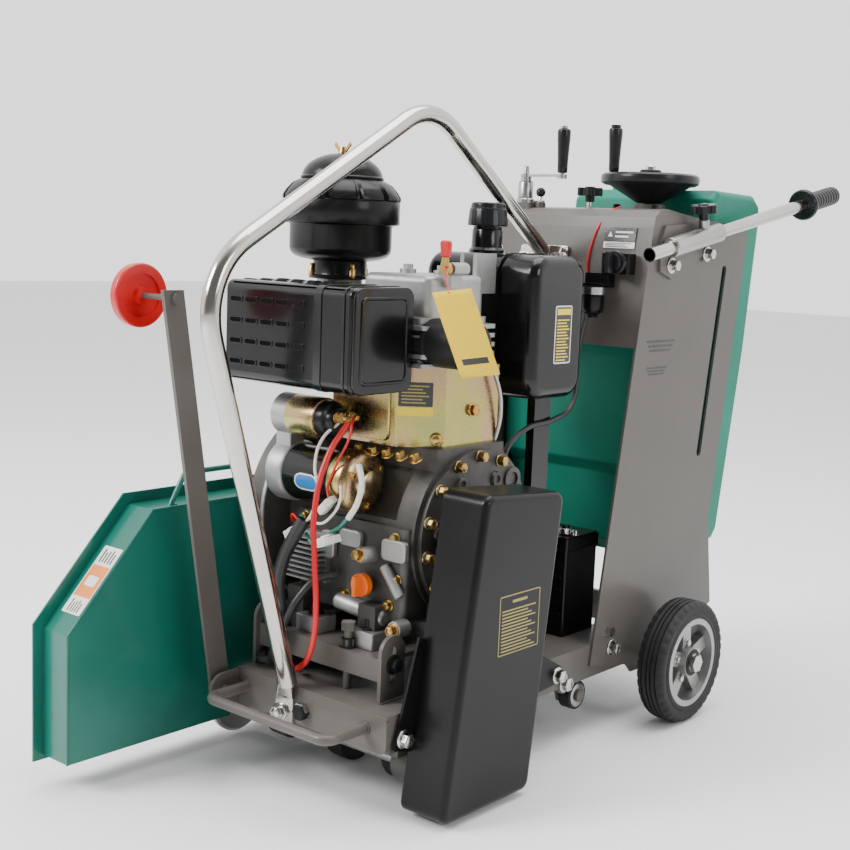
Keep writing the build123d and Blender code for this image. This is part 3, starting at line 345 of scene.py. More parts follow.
def finish_piece(bm, name, finishes, body="chassis", bevel=0.0, smooth=True):
    """Makes the bmesh into an object that rides on body."""
    bmesh.ops.recalc_face_normals(bm, faces=bm.faces)
    mesh = bpy.data.meshes.new(name)
    bm.to_mesh(mesh)
    bm.free()
    piece = bpy.data.objects.new(name, mesh)
    bpy.context.scene.collection.objects.link(piece)
    for finish in finishes if isinstance(finishes, (list, tuple)) else [finishes]:
        mesh.materials.append(finish)
    if smooth:
        mesh.shade_smooth()
        mesh.set_sharp_from_angle(angle=math.radians(38))
    if bevel > 0:
        rounding = piece.modifiers.new("rounding", "BEVEL")
        rounding.width = bevel / 1000
        rounding.segments = 2
        rounding.limit_method = "ANGLE"
        rounding.angle_limit = math.radians(38)
    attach(piece, body)
    return piece


def turned(name, profile, origin, direction, finish, body="chassis", around=40, wave=None, bevel=0.0):
    """One turned piece."""
    bm = bmesh.new()
    add_turned(bm, profile, origin, direction, around, wave)
    return finish_piece(bm, name, finish, body, bevel)



def add_bolt(bm, seat, direction, across, height, flange=0.0, finish=0):
    """A hexagon head, with a round flange or washer under it, standing on seat."""
    direction = Vector(direction).normalized()
    first, _ = upright(direction)
    seat = Vector(seat)
    lift = 0.0
    if flange > 0:
        lift = height * 0.22
        add_turned(bm, [(0, 0), (flange, 0), (flange, lift * 0.7), (flange * 0.92, lift), (0, lift)], seat,
                   direction, 28, finish=finish)
    size = across / math.sqrt(3)
    corners = [around_axis((0, 0), size, math.radians(60 * k)) for k in range(6)]
    add_prism(bm, corners, seat + direction * lift, first, direction, height - lift, finish)
    add_turned(bm, [(0, 0), (across * 0.44, 0), (across * 0.36, 0.8), (0, 0.9)], seat + direction * height,
               direction, 20, finish=finish)


def bolts(name, spots, across, height, finish, flange=0.0, body="chassis"):
    bm = bmesh.new()
    for seat, direction in spots:
        add_bolt(bm, seat, direction, across, height, flange)
    return finish_piece(bm, name, finish, body, bevel=0.5)


def wire(name, points, radius, finish, body="chassis"):
    """A short wire held at both ends: a round sweep along a smooth line through points in machine mm."""
    curve = bpy.data.curves.new(name, "CURVE")
    curve.dimensions = "3D"
    curve.bevel_depth = radius / 1000
    curve.bevel_resolution = 4
    curve.resolution_u = 10
    curve.use_fill_caps = True
    line = curve.splines.new("BEZIER")
    line.bezier_points.add(len(points) - 1)
    for knot, point in zip(line.bezier_points, points):
        knot.co = at(*point)
        knot.handle_left_type = knot.handle_right_type = "AUTO"
    piece = bpy.data.objects.new(name, curve)
    bpy.context.scene.collection.objects.link(piece)
    curve.materials.append(finish)
    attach(piece, body)
    return piece


def stripes(bm, middle, x_dir, normal, width, height, rows, index, lift=0.35):
    """Rows of short bars that stand for a label's lines of print."""
    middle, x_dir, normal = Vector(middle), Vector(x_dir).normalized(), Vector(normal).normalized()
    y_dir = normal.cross(x_dir)
    for row in range(rows):
        length = width * (0.96 - 0.22 * ((row * 5) % 3) / 2)
        v = height / 2 - height * (row + 0.5) / rows
        start = middle + y_dir * v + x_dir * ((length - width) / 2)
        add_prism(bm, rounded(length, height / rows * 0.42, 0.25, 1), start, x_dir, normal, lift, index)


def add_frame(bm, outer, inner, origin, x_dir, normal, thickness, index):
    """A flat ring between two outlines with the same number of points."""
    origin, x_dir, normal = Vector(origin), Vector(x_dir).normalized(), Vector(normal).normalized()
    y_dir = normal.cross(x_dir)

    def ring(outline, lift):
        return [bm.verts.new(at(*(origin + x_dir * u + y_dir * v + normal * lift))) for u, v in outline]

    low_out, low_in = ring(outer, 0), ring(inner, 0)
    top_out, top_in = ring(outer, thickness), ring(inner, thickness)
    for step in range(len(outer)):
        after = (step + 1) % len(outer)
        for first, second in ((low_out, top_out), (top_out, top_in), (top_in, low_in)):
            bm.faces.new((first[step], first[after], second[after], second[step])).material_index = index


# ---------------------------------------------------------------- wheels
def rear_tyre(word, side):
    """A tyre with a stepped side wall, a grooved tread and notched shoulders, in place of the plain ring."""
    half = [(72.3, 23), (76, 24), (79, 23.2), (80.5, 22), (90, 24), (94.5, 23.2), (97.5, 20.5),
            (99.2, 17.5), (99.8, 14), (96.8, 13.4), (96.8, 11.4), (99.9, 10.8), (99.9, 5.2), (96.8, 4.6),
            (96.8, 2.4), (100, 1.8)]
    profile = [(radius, along) for radius, along in half] + [(radius, -along) for radius, along in half[::-1]]
    profile = profile + [profile[0]]
    shoulders = {5, 6, 7, len(half) * 2 - 6, len(half) * 2 - 7, len(half) * 2 - 8}

    def notch(index, step):
        return 0.972 if index in shoulders and step % 4 == 0 else 1.0

    piece = turned("rear_tyre_" + word + "_tread", profile, (side * 210, *REAR_AXLE), DRIVE, TYRE,
                   "rear_wheel_" + word, 144, notch)
    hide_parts("rear_tyre_" + word)


def rear_wheel_trim(word, side):
    """Bearing seal, washer and the bolts that join the hub's two halves."""
    out = (side, 0, 0)
    turned("axle_washer_" + word, disc(15, 1.6), (side * 233.3, *REAR_AXLE), out, ZINC, around=36)
    turned("hub_seal_" + word, [(10.5, 0), (22, 0), (22, 0.5), (17.5, 0.9), (16.6, 0.2), (10.5, 0.2)],
           (side * 233, *REAR_AXLE), out, RUBBER, "rear_wheel_" + word)
    spots = []
    for count in range(5):
        angle = math.radians(20 + 72 * count)
        spots.append(((side * 221, *around_axis(REAR_AXLE, 31, angle)), out))
    bolts("hub_bolts_" + word, spots, 10, 5, ZINC, 7, "rear_wheel_" + word)


for side_word, side_sign in (("left", 1), ("right", -1)):
    rear_tyre(side_word, side_sign)
    rear_wheel_trim(side_word, side_sign)


# ---------------------------------------------------------------- muffler
def muffler_details():
    """Pressed slots in rows on the shield, each with a thin near-black sheet inside as painted shade, the
    band round it and the raised panel on its end plate.
    """
    bm = bmesh.new()
    for row in range(4):
        z = 586 + row * 29
        for column in range(5):
            x = -168 + column * 31
            add_frame(bm, rounded(27, 10, 4.8), rounded(22, 6, 2.9), (x, -72, z), DRIVE, FRONT, 1.0, 0)
            # the thin near-black sheet inside each slot is painted shade, not a part
            add_prism(bm, rounded(22.6, 6.6, 3.2), (x, -72, z), DRIVE, FRONT, 0.3, 1 if column < 4 else 0)
    for column in range(5):
        for y in (-46, -14, 18):
            add_prism(bm, rounded(25, 9.5, 4.6), (-168 + column * 31, y, 700), DRIVE, UP, 1.0, 0)
            add_prism(bm, rounded(19, 5.6, 2.7), (-168 + column * 31, y, 700.8), DRIVE, UP, 0.6, 1)
    finish_piece(bm, "muffler_slots", [BLACK_GLOSS, OPENING_SHADE], bevel=0.5)
    bm = bmesh.new()
    ring = rounded(118.6, 144.6, 15)
    inner = rounded(116, 142, 14)
    for x_from, x_to in ((-13, 1), (40, 44)):
        outer_low, outer_high, inner_low, inner_high = (
            [bm.verts.new(at(x, u - 14, v + 629)) for u, v in outline]
            for outline in (ring, inner) for x in (x_from, x_to))
        for step in range(len(ring)):
            after = (step + 1) % len(ring)
            for quad in ((outer_low, outer_high), (inner_high, inner_low), (inner_low, outer_low),
                         (outer_high, inner_high)):
                bm.faces.new((quad[0][step], quad[0][after], quad[1][after], quad[1][step]))
    finish_piece(bm, "muffler_band", BLACK_GLOSS, bevel=0.6)
    bm = bmesh.new()
    add_prism(bm, rounded(116, 142, 16), (57, -14, 629), BACK, DRIVE, 5.0)
    add_frame(bm, rounded(94, 118, 11), rounded(84, 108, 8), (62, -14, 629), BACK, DRIVE, 1.8, 0)
    finish_piece(bm, "muffler_end_panel", BLACK_GLOSS, bevel=1.6)
    # the air duct that runs behind it
    turned("air_duct", [(0, 0), (30, 0), (33, 2), (33, 40), (34.5, 41), (34.5, 46), (33, 47), (33, 112),
                        (31.5, 115), (29, 116), (0, 116)], (30, 80, 624), DRIVE, BLACK_MATT, around=56)


muffler_details()


# ---------------------------------------------------------------- air cleaner
def air_cleaner_details():
    """The bowl's two steps and neck, the notched lid with its dome, and the seam and clips."""
    middle = (*AIR_CLEANER, 0)

    def notches(index, step):
        return 0.93 if 1 <= index <= 4 and step % 12 in (0, 1) else 1.0

    bowl = [(0, 702), (46, 702), (46, 706), (41, 708), (40, 711), (40, 728), (58, 731), (69, 735),
            (74.5, 741), (76, 747), (76, 780), (77, 781.5), (85.5, 783), (87, 785), (87, 815), (86, 817),
            (0, 817)]
    piece = turned("air_cleaner_body", bowl, middle, UP, MOULDED, around=96)
    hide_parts("air_cleaner_bowl")
    lid = [(86, 817), (88, 818), (88, 823), (83, 831), (74, 841), (64, 846), (60.5, 848), (60, 850)]
    for degrees in range(9, 82, 9):
        turn = math.radians(degrees)
        lid.append((60 * math.cos(turn), 850 + 36 * math.sin(turn)))
    piece = turned("air_cleaner_dome", lid + [(0, 886)], middle, UP, MOULDED, around=144, wave=notches)
    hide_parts("air_cleaner_lid")
    turned("air_cleaner_bead", [(60.2, 848), (62, 849), (62, 851), (60, 852.5)], middle, UP, MOULDED,
           around=96)
    bm = bmesh.new()
    for turn in (-125, -20, 70, 165):
        angle = math.radians(turn)
        spot = (*around_axis(AIR_CLEANER, 42, angle), 704)
        add_turned(bm, [(0, 0), (5, 0), (5, 12), (3.5, 14), (3.5, 20), (0, 20)], spot, UP, 20)
    finish_piece(bm, "air_cleaner_clips", GOLD, bevel=0.4)


air_cleaner_details()


# ---------------------------------------------------------------- starter
def starter_details():
    """The starter in its separate finishes: cast nose, black field tube, plated end cap and solenoid."""
    y, z = STARTER
    nose = turned("starter_nose", [(0, 0), (44, 0), (45, 1), (45, 26), (43, 30), (40.5, 31)], (-148, y, z),
                  DRIVE, CAST, around=64)
    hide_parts("starter_motor")
    turned("starter_tube", [(39.5, 0), (41, 0.5), (41, 93), (39.5, 93.6)], (-117.4, y, z), DRIVE, BLACK_GLOSS,
           around=64)
    turned("starter_cap", [(41, 0), (45.4, 0.3), (45.4, 22), (44.2, 27), (41, 31), (34, 34.5), (26, 36.4),
                           (22, 36.6), (20, 39), (19, 45.5), (16, 47.6), (0, 47.8)], (-24, y, z), DRIVE,
           IRIDESCENT, around=64)
    bm = bmesh.new()
    for turn in (35, 155, 275):
        angle = math.radians(turn)
        add_bolt(bm, (9, *around_axis(STARTER, 32, angle)), DRIVE, 9, 6, 6.5)
    finish_piece(bm, "starter_cap_bolts", GOLD, bevel=0.4)
    bm = bmesh.new()
    add_prism(bm, rounded(30, 88, 12), (-148, 6, 468), BACK, DRIVE, 29)
    finish_piece(bm, "starter_flange", CAST, bevel=2.0)
    sy, sz = SOLENOID
    turned("solenoid_nose", [(0, 0), (28, 0), (30, 2), (30, 30), (0, 30)], (-146, sy, sz), DRIVE, CAST,
           around=56)
    turned("solenoid_band", [(30.1, 0), (30.4, 0.6), (30.4, 53), (29.8, 55), (28, 56), (0, 56)],
           (-116, sy, sz), DRIVE, IRIDESCENT, around=56)
    turned("solenoid_cap", [(27, 0), (27, 12), (25.5, 15), (21, 17), (20.2, 26), (18.5, 28), (0, 28)],
           (-60, sy, sz), DRIVE, KNOB, around=48)
    bm = bmesh.new()
    for dy in (-10, 11):
        add_turned(bm, [(0, 0), (4, 0), (4, 22), (3.2, 23), (0, 23)], (-33, sy + dy, sz + 6), DRIVE, 20)
        add_bolt(bm, (-30, sy + dy, sz + 6), DRIVE, 13, 6, 8)
        add_bolt(bm, (-22, sy + dy, sz + 6), DRIVE, 12, 5, 8)
    finish_piece(bm, "solenoid_studs", GOLD, bevel=0.4)
    # generic oval label on the tube
    bm = bmesh.new()
    for lift, width, height, index in ((41.25, 46, 25, 0), (41.5, 41, 20, 1)):
        rows = []
        for step in range(13):
            v = height * (step / 12 - 0.5)
            end = math.sqrt(max(0.0, 1 - (2 * v / height) ** 2)) * height / 2
            reach = width / 2 - height / 2 + end
            turn = math.radians(188) + v / lift
            rows.append([bm.verts.new(at(-68 + u, y + lift * math.cos(turn), z + lift * math.sin(turn)))
                         for u in (-reach, reach)])
        for low, high in zip(rows, rows[1:]):
            bm.faces.new((low[0], low[1], high[1], high[0])).material_index = index
    finish_piece(bm, "starter_label", [LABEL_WHITE, LABEL_BLUE], smooth=False)


starter_details()


# ---------------------------------------------------------------- engine block
def engine_details():
    spots = []
    for degrees in range(-60, 241, 25):
        angle = math.radians(degrees)
        y, z = around_axis(CASE_MIDDLE, 111, angle)
        if z > 245 and math.dist((y, z), SHAFT_BOSS) > 30:
            spots.append(((102.4, y, z), DRIVE))
    bolts("case_bolts", spots, 13, 12, GOLD, 9)
    front = [((x, 14, z), FRONT) for x, z in ((-104, 258), (-104, 362), (62, 262), (76, 300), (70, 358),
                                                  (-20, 262))]
    bolts("case_front_bolts", front, 11, 8, GOLD, 8)
    top = [((x, 34, 466), (0, -0.5, 1)) for x in (-20, 6, 32, 58, 84)]
    bolts("cylinder_foot_bolts", top, 12, 11, GOLD, 9)
    # mounting blocks on the base with their bolts
    bm = bmesh.new()
    for x in (-62, 44):
        add_prism(bm, rounded(44, 40, 3), (x, -3, 204), DRIVE, UP, 24)
    finish_piece(bm, "mounting_blocks", CAST, bevel=1.2)
    bolts("mounting_bolts", [((x, -3, 228), UP) for x in (-62, 44)], 17, 15, BLACK_MATT, 12)
    # cast ribs and bosses on the drive-side cover
    bm = bmesh.new()
    for degrees in (12, 62, 118, 172):
        angle = math.radians(degrees)
        spot = (CASE_FACE, *around_axis(CASE_MIDDLE, 84, angle))
        add_turned(bm, [(0, 0), (12, 0), (10, 5), (6, 5.2), (5, 2), (0, 2)], spot, DRIVE, 28)
    add_turned(bm, [(17.6, 0), (31, 0), (31, 6), (28, 8), (22, 8.4), (19, 7), (17.6, 7)], (104, *CRANK),
               DRIVE, 56)
    for degrees in range(0, 360, 45):
        angle = math.radians(degrees)
        outward = Vector((0, math.cos(angle), math.sin(angle)))
        if 20 < degrees < 160:
            add_prism(bm, [(32, -2.5), (66, -2), (66, 2), (32, 2.5)], Vector((CASE_FACE, *CRANK)), outward,
                      DRIVE, 5)
    finish_piece(bm, "case_ribs", IRON, bevel=0.8)
    # oil pipe union and drain plug low on the front
    turned("union_boss", [(0, 0), (11, 0), (11, 26), (8, 30), (0, 30)], (30, 14, 329), (0, -1, 0.1), CAST,
           around=32, bevel=0.6)
    bolts("union_bolts", [((30, -15, 332), (0, -1, 0.1)), ((91, -8, 237), FRONT)], 13, 10, GOLD, 10)
    turned("drain_boss", disc(12, 24), (91, 16, 237), FRONT, CAST, around=32, bevel=0.6)
    # oil gallery, pipe housing and pads cast on the front of the block
    bm = bmesh.new()
    add_turned(bm, [(0, 0), (9, 0), (12, 3), (12, 90), (9, 94), (0, 94)], (-32, 8, 253), (1, 0, -0.1), 32)
    add_turned(bm, disc(8, 50), (56, 8, 318), (0.6, 0, -0.75), 28)
    for x, z, width, height in ((74, 342, 44, 30), (-8, 346, 40, 24), (-52, 330, 26, 40)):
        add_prism(bm, rounded(width, height, 7), (x, 13, z), DRIVE, FRONT, 9)
    finish_piece(bm, "front_castings", CAST, bevel=1.5)
    # flywheel casing: machined light edge and the fan screen
    turned("flywheel_edge", [(150.2, 0), (152.4, 0.4), (152.4, 5.6), (150.2, 6)], (-155.5, *FLYWHEEL),
           DRIVE, CAST, around=96)
    turned("fan_screen", [(30, 0), (118, 0), (118, -1.4), (30, -1.4)], (-204.2, *FLYWHEEL), DRIVE,
           BLACK_MATT, around=72)
    # flat near-black discs on the fan screen stand for its holes: painted shade, not cut openings
    bm = bmesh.new()
    for ring, count in ((46, 16), (62, 22), (78, 28), (94, 34), (108, 40)):
        for step in range(count):
            angle = 2 * math.pi * step / count
            spot = (-205.8, *around_axis(FLYWHEEL, ring, angle))
            add_turned(bm, disc(4.2, 0.3), spot, BLADE, 12)
    finish_piece(bm, "fan_screen_hole_shade", OPENING_SHADE)


engine_details()


def shroud_details():
    """Pressed bead, generic rating plate and gold screws on the cylinder's plated cover."""
    bm = bmesh.new()
    outline = rounded(104, 92, 10)
    inner = rounded(98, 86, 8)
    outer_face = [bm.verts.new(at(-28 + u, 44.2, 530 + v)) for u, v in outline]
    inner_face = [bm.verts.new(at(-28 + u, 41.6, 530 + v)) for u, v in inner]
    mid = [bm.verts.new(at(-28 + u * 0.975, 41.6, 530 + v * 0.975)) for u, v in outline]
    for step in range(len(outline)):
        after = (step + 1) % len(outline)
        bm.faces.new((outer_face[step], outer_face[after], mid[after], mid[step]))
        bm.faces.new((mid[step], mid[after], inner_face[after], inner_face[step]))
    bm.faces.new(inner_face)
    finish_piece(bm, "shroud_panel", IRIDESCENT)
    along = Vector((52, 45, 0)).normalized()
    slope = Vector((45, -52, 0)).normalized()
    corner = Vector((34, 45, 0))
    bm = bmesh.new()
    plate = corner + along * 27 + Vector((0, 0, 552)) + slope * 0.1
    stripe = corner + along * 27 + Vector((0, 0, 528)) + slope * 0.1
    add_prism(bm, rounded(48, 34, 1.5), plate, along, slope, 0.5, 0)
    add_prism(bm, rounded(50, 12, 1), stripe, along, slope, 0.5, 1)
    stripes(bm, plate + slope * 0.5, along, slope, 40, 28, 6, 2, 0.25)
    finish_piece(bm, "shroud_plate", [LABEL_BLACK, LABEL_YELLOW, LABEL_GOLD], smooth=False)
    spots = [((86, 150, 528), DRIVE), (corner + along * 58 + Vector((0, 0, 490)), slope)]
    bolts("shroud_screws", spots, 15, 8, GOLD, 10)


shroud_details()


# ---------------------------------------------------------------- small wires on the engine
def connector(name, middle, turn, size=(22, 12, 10)):
    """A white nylon plug with a latch and two halves."""
    bm = bmesh.new()
    length, width, height = size
    direction = Vector((math.cos(turn[0]) * math.cos(turn[1]), math.sin(turn[0]) * 0.2, math.sin(turn[1])))
    direction.normalize()
    first, second = upright(direction)
    start = Vector(middle) - direction * (length / 2)
    add_prism(bm, rounded(width, height, 1.5, 2), start, first, direction, length * 0.55)
    add_prism(bm, rounded(width * 0.84, height * 0.8, 1.2, 2), start + direction * length * 0.55, first,
              direction, length * 0.45)
    add_prism(bm, rounded(width * 0.3, 2.0, 0.5, 2),
              start + second * (height * 0.56) + direction * length * 0.2, first, direction, length * 0.5)
    finish_piece(bm, name, WIRE_WHITE, bevel=0.5)


def engine_wires():
    wire("wire_signal_red", [(-14, 12, 516), (2, -8, 512), (6, -18, 490), (-4, -26, 462), (-12, -30, 440),
                             (-16, -34, 420), (-6, -38, 402)], 1.9, WIRE_RED)
    wire("wire_white_long", [(-30, 0, 508), (-40, -22, 486), (-36, -40, 452), (-24, -46, 420),
                             (-30, -48, 388), (-52, -40, 366)], 2.2, WIRE_WHITE)
    wire("wire_white_sleeve", [(30, -22, 458), (44, -30, 436), (42, -36, 408), (30, -40, 386)], 4.2,
         WIRE_WHITE)
    wire("wire_green_a", [(30, -40, 388), (20, -42, 376), (6, -42, 366), (-2, -42, 362)], 2.3, WIRE_GREEN)
    wire("wire_green_b", [(-52, -38, 352), (-34, -42, 340), (-14, -42, 340), (2, -42, 348)], 2.3, WIRE_GREEN)
    wire("wire_grey", [(-40, -44, 378), (-20, -46, 372), (4, -46, 386), (16, -42, 410), (10, -36, 428)], 1.9,
         WIRE_WHITE)
    wire("wire_regulator_red", [(-92, -6, 350), (-96, -22, 362), (-88, -30, 372), (-74, -34, 368),
                                (-62, -38, 364)], 2.0, WIRE_RED)
    wire("wire_regulator_green", [(-84, -4, 348), (-80, -20, 368), (-66, -34, 374), (-56, -40, 370)], 2.0,
         WIRE_GREEN)
    connector("plug_upper", (-6, -44, 400), (0.4, 0.75), (30, 14, 11))
    connector("plug_lower", (2, -48, 352), (0.3, 0.35), (34, 18, 13))
    connector("plug_regulator", (-70, -44, 352), (0.3, 0.5), (26, 16, 12))
    # the black sleeve that gathers the wires and runs down to the deck
    wire("harness_sleeve", [(-50, -44, 372), (-62, -52, 346), (-76, -58, 312), (-82, -60, 276),
                            (-80, -58, 240), (-86, -56, 216), (-98, -50, 196)], 9.5, WIRE_BLACK)
    # lines that run round the side of the engine to the rear
    wire("rear_cable", [(-100, -56, 160), (-128, -50, 158), (-141, -10, 166), (-143, 60, 190),
                        (-138, 140, 214), (-132, 220, 216), (-120, 300, 190), (-100, 392, 170)], 5.5,
         WIRE_BLACK)
    wire("fuel_pipe", [(72, 445, 656), (78, 420, 600), (92, 390, 520), (98, 330, 500), (96, 268, 492),
                       (90, 236, 470), (88, 222, 440)], 4.0, WIRE_BLACK)
    wire("injector_pipe", [(84, 204, 470), (94, 206, 520), (96, 190, 570), (90, 160, 610), (76, 120, 640),
                           (60, 96, 664)], 3.0, STEEL)


engine_wires()


def battery_cables():
    """The two heavy cables, each held at both ends, in their own colours."""
    red = wire("battery_cable_red", [(-4, -9, 511), (-6, -44, 470), (-4, -70, 400), (6, -78, 330),
                                     (14, -81, 270), (12, -81, 226), (-4, -76, 190), (-26, -66, 172),
                                     (-46, -53, 160), (-58, -36, 151.5)], 4.2, WIRE_RED)
    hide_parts("battery_cables")
    wire("battery_cable_black", [(-30, 3, 290), (-44, -20, 285), (-58, -42, 260), (-70, -54, 228),
                                 (-84, -58, 196), (-98, -53, 171), (-112, -42, 154.5)], 6.0, WIRE_BLACK)


battery_cables()


# ---------------------------------------------------------------- labels, all without wording
def belt_cover_label():
    bm = bmesh.new()
    x = 224.0
    outer, inner = rounded(90, 82, 2, 2), rounded(87, 79, 1, 2)
    add_frame(bm, outer, inner, (x, 98, 258), BACK, DRIVE, 0.3, 0)
    stripes(bm, (x, 98, 250), BACK, DRIVE, 78, 60, 13, 0, 0.3)
    stripes(bm, (x, 98, 289), BACK, DRIVE, 34, 9, 1, 0, 0.3)
    finish_piece(bm, "belt_cover_label", LABEL_GOLD, smooth=False)


def labels():
    belt_cover_label()
    # fuel tank's label
    bm = bmesh.new()
    add_prism(bm, rounded(42, 86, 3, 2), (118.05, 318, 632), BACK, DRIVE, 0.4, 0)
    add_prism(bm, rounded(38, 82, 2, 2), (118.4, 318, 632), BACK, DRIVE, 0.3, 1)
    add_prism(bm, rounded(34, 9, 1, 2), (118.7, 318, 666), BACK, DRIVE, 0.3, 2)
    stripes(bm, (118.7, 318, 624), BACK, DRIVE, 32, 64, 14, 2, 0.25)
    finish_piece(bm, "fuel_tank_label", [LABEL_WHITE, LABEL_BLACK, LABEL_YELLOW], smooth=False)
    # control panel's label, with a plain triangle
    y = cover_y(772)
    bm = bmesh.new()
    add_prism(bm, rounded(58, 22, 1.5, 2), (92, y - 0.1, 784), DRIVE, COVER_NORMAL, 0.4, 0)
    add_prism(bm, [(-4.5, -4), (4.5, -4), (0, 4.5)], (74, y - 0.5, 784), DRIVE, COVER_NORMAL, 0.4, 1)
    stripes(bm, (100, y - 0.5, 784), DRIVE, COVER_NORMAL, 34, 14, 2, 1, 0.3)
    add_prism(bm, rounded(58, 10, 1, 2), (92, y - 2.8, 767), DRIVE, COVER_NORMAL, 0.4, 1)
    stripes(bm, (92, y - 3.2, 767), DRIVE, COVER_NORMAL, 50, 8, 3, 0, 0.3)
    finish_piece(bm, "panel_label", [LABEL_BLACK, LABEL_WHITE], smooth=False)
    # guard's label on its sloping face
    slope = Vector((0, -154, 140)).normalized()
    middle = Vector((-236, -262, 285.7)) + slope * 0.6
    along = Vector((0, 140, 154)).normalized()
    bm = bmesh.new()
    add_prism(bm, rounded(108, 40, 2, 2), middle, along, slope, 0.4, 0)
    add_prism(bm, rounded(50, 36, 1, 2), middle + slope * 0.35 - along * 2, along, slope, 0.3, 1)
    stripes(bm, middle + slope * 0.35 + along * 39, along, slope, 22, 30, 5, 2, 0.25)
    stripes(bm, middle + slope * 0.35 - along * 41, along, slope, 20, 26, 5, 2, 0.25)
    add_prism(bm, rounded(16, 22, 3, 3), middle + slope * 0.6 - along * 2, along, slope, 0.3, 0)
    finish_piece(bm, "guard_label", [LABEL_WHITE, LABEL_ORANGE, LABEL_BLACK], "guard", smooth=False)
    # size marks on the column's side plate, as plain bars
    bm = bmesh.new()
    for y_at, z_at, width, height in ((546, 610, 84, 20), (538, 570, 62, 14)):
        for bar in range(3):
            z_bar = z_at + height * (0.36 - 0.36 * bar)
            add_prism(bm, rounded(width * (1 - 0.12 * bar), height * 0.2, 0.6, 2), (150.0, y_at, z_bar),
                      BACK, DRIVE, 0.25)
    finish_piece(bm, "column_marks", LABEL_BLACK, smooth=False)


labels()


# ---------------------------------------------------------------- frame and column fasteners
def fasteners():
    y = cover_y(742) - 7.2
    bolts("bail_plate_bolts", [((x, y, 742), COVER_NORMAL) for x in (-86, -10)], 15, 9, ZINC, 10)
    bolts("bail_foot_bolt", [((-50, -82, 104), FRONT)], 16, 11, ZINC, 13)
    bolts("lip_bolt", [((-8, -77, 114), FRONT)], 20, 12, BLACK_MATT)
    bolts("cover_bolts", [((154, -52, 112), DRIVE), ((154, 298, 120), DRIVE)], 17, 12, ZINC, 13)
    spots = [((side * x, y_at, z), (side, 0, 0)) for side in (1, -1)
             for x, y_at, z in ((155, 555, 738), (155, 666, 758), (150, 451, 131))]
    bolts("column_bolts", spots, 15, 14, ZINC, 13)
    bolts("slot_bolts", [((106, -23, 196), DRIVE), ((-146, -23, 196), BLADE)], 17, 11, BLACK_MATT, 14)
    bolts("jack_nuts", [((x, -29, 204), UP) for x in (-110, 27)], 19, 13, BLACK_MATT, 12)
    pivots = [((146.5, 330, 98), DRIVE), ((-146.5, 330, 98), BLADE)]
    bolts("carriage_nuts", pivots, 19, 10, ZINC, 14)
    bm = bmesh.new()
    for x, y_at in ((86, 606), (14, 606), (86, 690), (14, 690)):
        add_bolt(bm, (x, y_at, 826 if y_at < 640 else 811), UP, 11, 8, 8)
    finish_piece(bm, "screw_flange_bolts", BLACK_MATT, bevel=0.4)


fasteners()


def weld(name, points, body="chassis", size=2.6, finish=None):
    """A fillet weld: a rippled bead along straight runs between points in machine mm."""
    bm = bmesh.new()
    for start, end in zip(points, points[1:]):
        start, end = Vector(start), Vector(end)
        length = (end - start).length
        count = max(2, int(length / 2.2))
        profile = []
        for step in range(count * 2 + 1):
            profile.append((size * (1.0 if step % 2 == 0 else 0.8), length * step / (count * 2)))
        add_turned(bm, [(0, 0)] + profile + [(0, length)], start, end - start, 10)
    finish_piece(bm, name, finish or GREY, body)


def welds():
    for word, x in (("left", 108), ("right", -124)):
        turns = [math.radians(30 * k) for k in range(13)]
        weld("weld_bumper_" + word, [(x + 8 * math.cos(a), -77.5, 121 + 8 * math.sin(a)) for a in turns],
             size=1.8)
    weld("weld_slot_left", [(106, -46, 145.6), (106, 0, 145.6)], size=2.2)
    weld("weld_slot_right", [(-146, -46, 145.6), (-146, 0, 145.6)], size=2.0)
    weld("weld_lug", [(-146, -77.5, 97), (-146, -77.5, 141)], size=2.2)


welds()


# ---------------------------------------------------------------- handles and knobs
SLOPE = math.radians(10.66)
RUN = Vector((0, math.cos(SLOPE), math.sin(SLOPE)))
RISE = Vector((0, -math.sin(SLOPE), math.cos(SLOPE)))


def handle_at(side, along, up=0.0):
    return Vector((side * 170, 464, 754)) + RUN * along + RISE * up


def handles():
    for word, side in (("left", 1), ("right", -1)):
        grip = [(11.1, 519), (25.5, 519), (27.6, 521.5), (28, 525), (27.4, 528.5), (24, 530.5), (18.5, 532),
                (17, 536)]
        for ridge in range(9):
            start = 541 + ridge * 10.5
            grip += [(16.2, start), (17.3, start + 1.6), (17.3, start + 6.2), (16.2, start + 7.8)]
        grip += [(17.2, 637), (17, 641), (14.5, 644.5), (9, 645.5), (0, 645.7)]
        piece = turned("handle_grip_" + word + "_ribbed", grip, handle_at(side, 0), RUN, KNOB,
                       "handle_" + word, around=48)
        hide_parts("handle_grip_" + word)
        turned("handle_sleeve_" + word, [(11.35, 62.5), (14.6, 62.5), (15.9, 64), (15.9, 212), (14.6, 213.5),
                                         (11.35, 213.5)], handle_at(side, 0), RUN, STEEL, around=48)
        turned("knob_boss_" + word, [(4.2, 12), (8.6, 12), (8.6, 27), (7.4, 28.2), (4.2, 28.2)],
               handle_at(side, 168), RISE, STEEL, around=36)
        turned("knob_stud_" + word, [(4.15, 0), (4.4, 0.2), (4.4, 2.2), (4.15, 2.4)],
               handle_at(side, 168, 28.6), RISE, ZINC, "clamp_" + word, around=24)
        turned("knob_cap_" + word, [(9, 51.8), (8.4, 53.4), (6, 54.2), (0, 54.4)], handle_at(side, 168),
               RISE, KNOB, "clamp_" + word, around=32)
    turned("column_stud", [(4.1, 814), (4.5, 815), (4.5, 843), (4.1, 844)], COLUMN_KNOB, UP, ZINC,
           "column_clamp", around=28)
    turned("column_knob_cap", [(9, 858.8), (8.4, 860.4), (6, 861.2), (0, 861.4)], COLUMN_KNOB, UP,
           KNOB, "column_clamp", around=32)


handles()


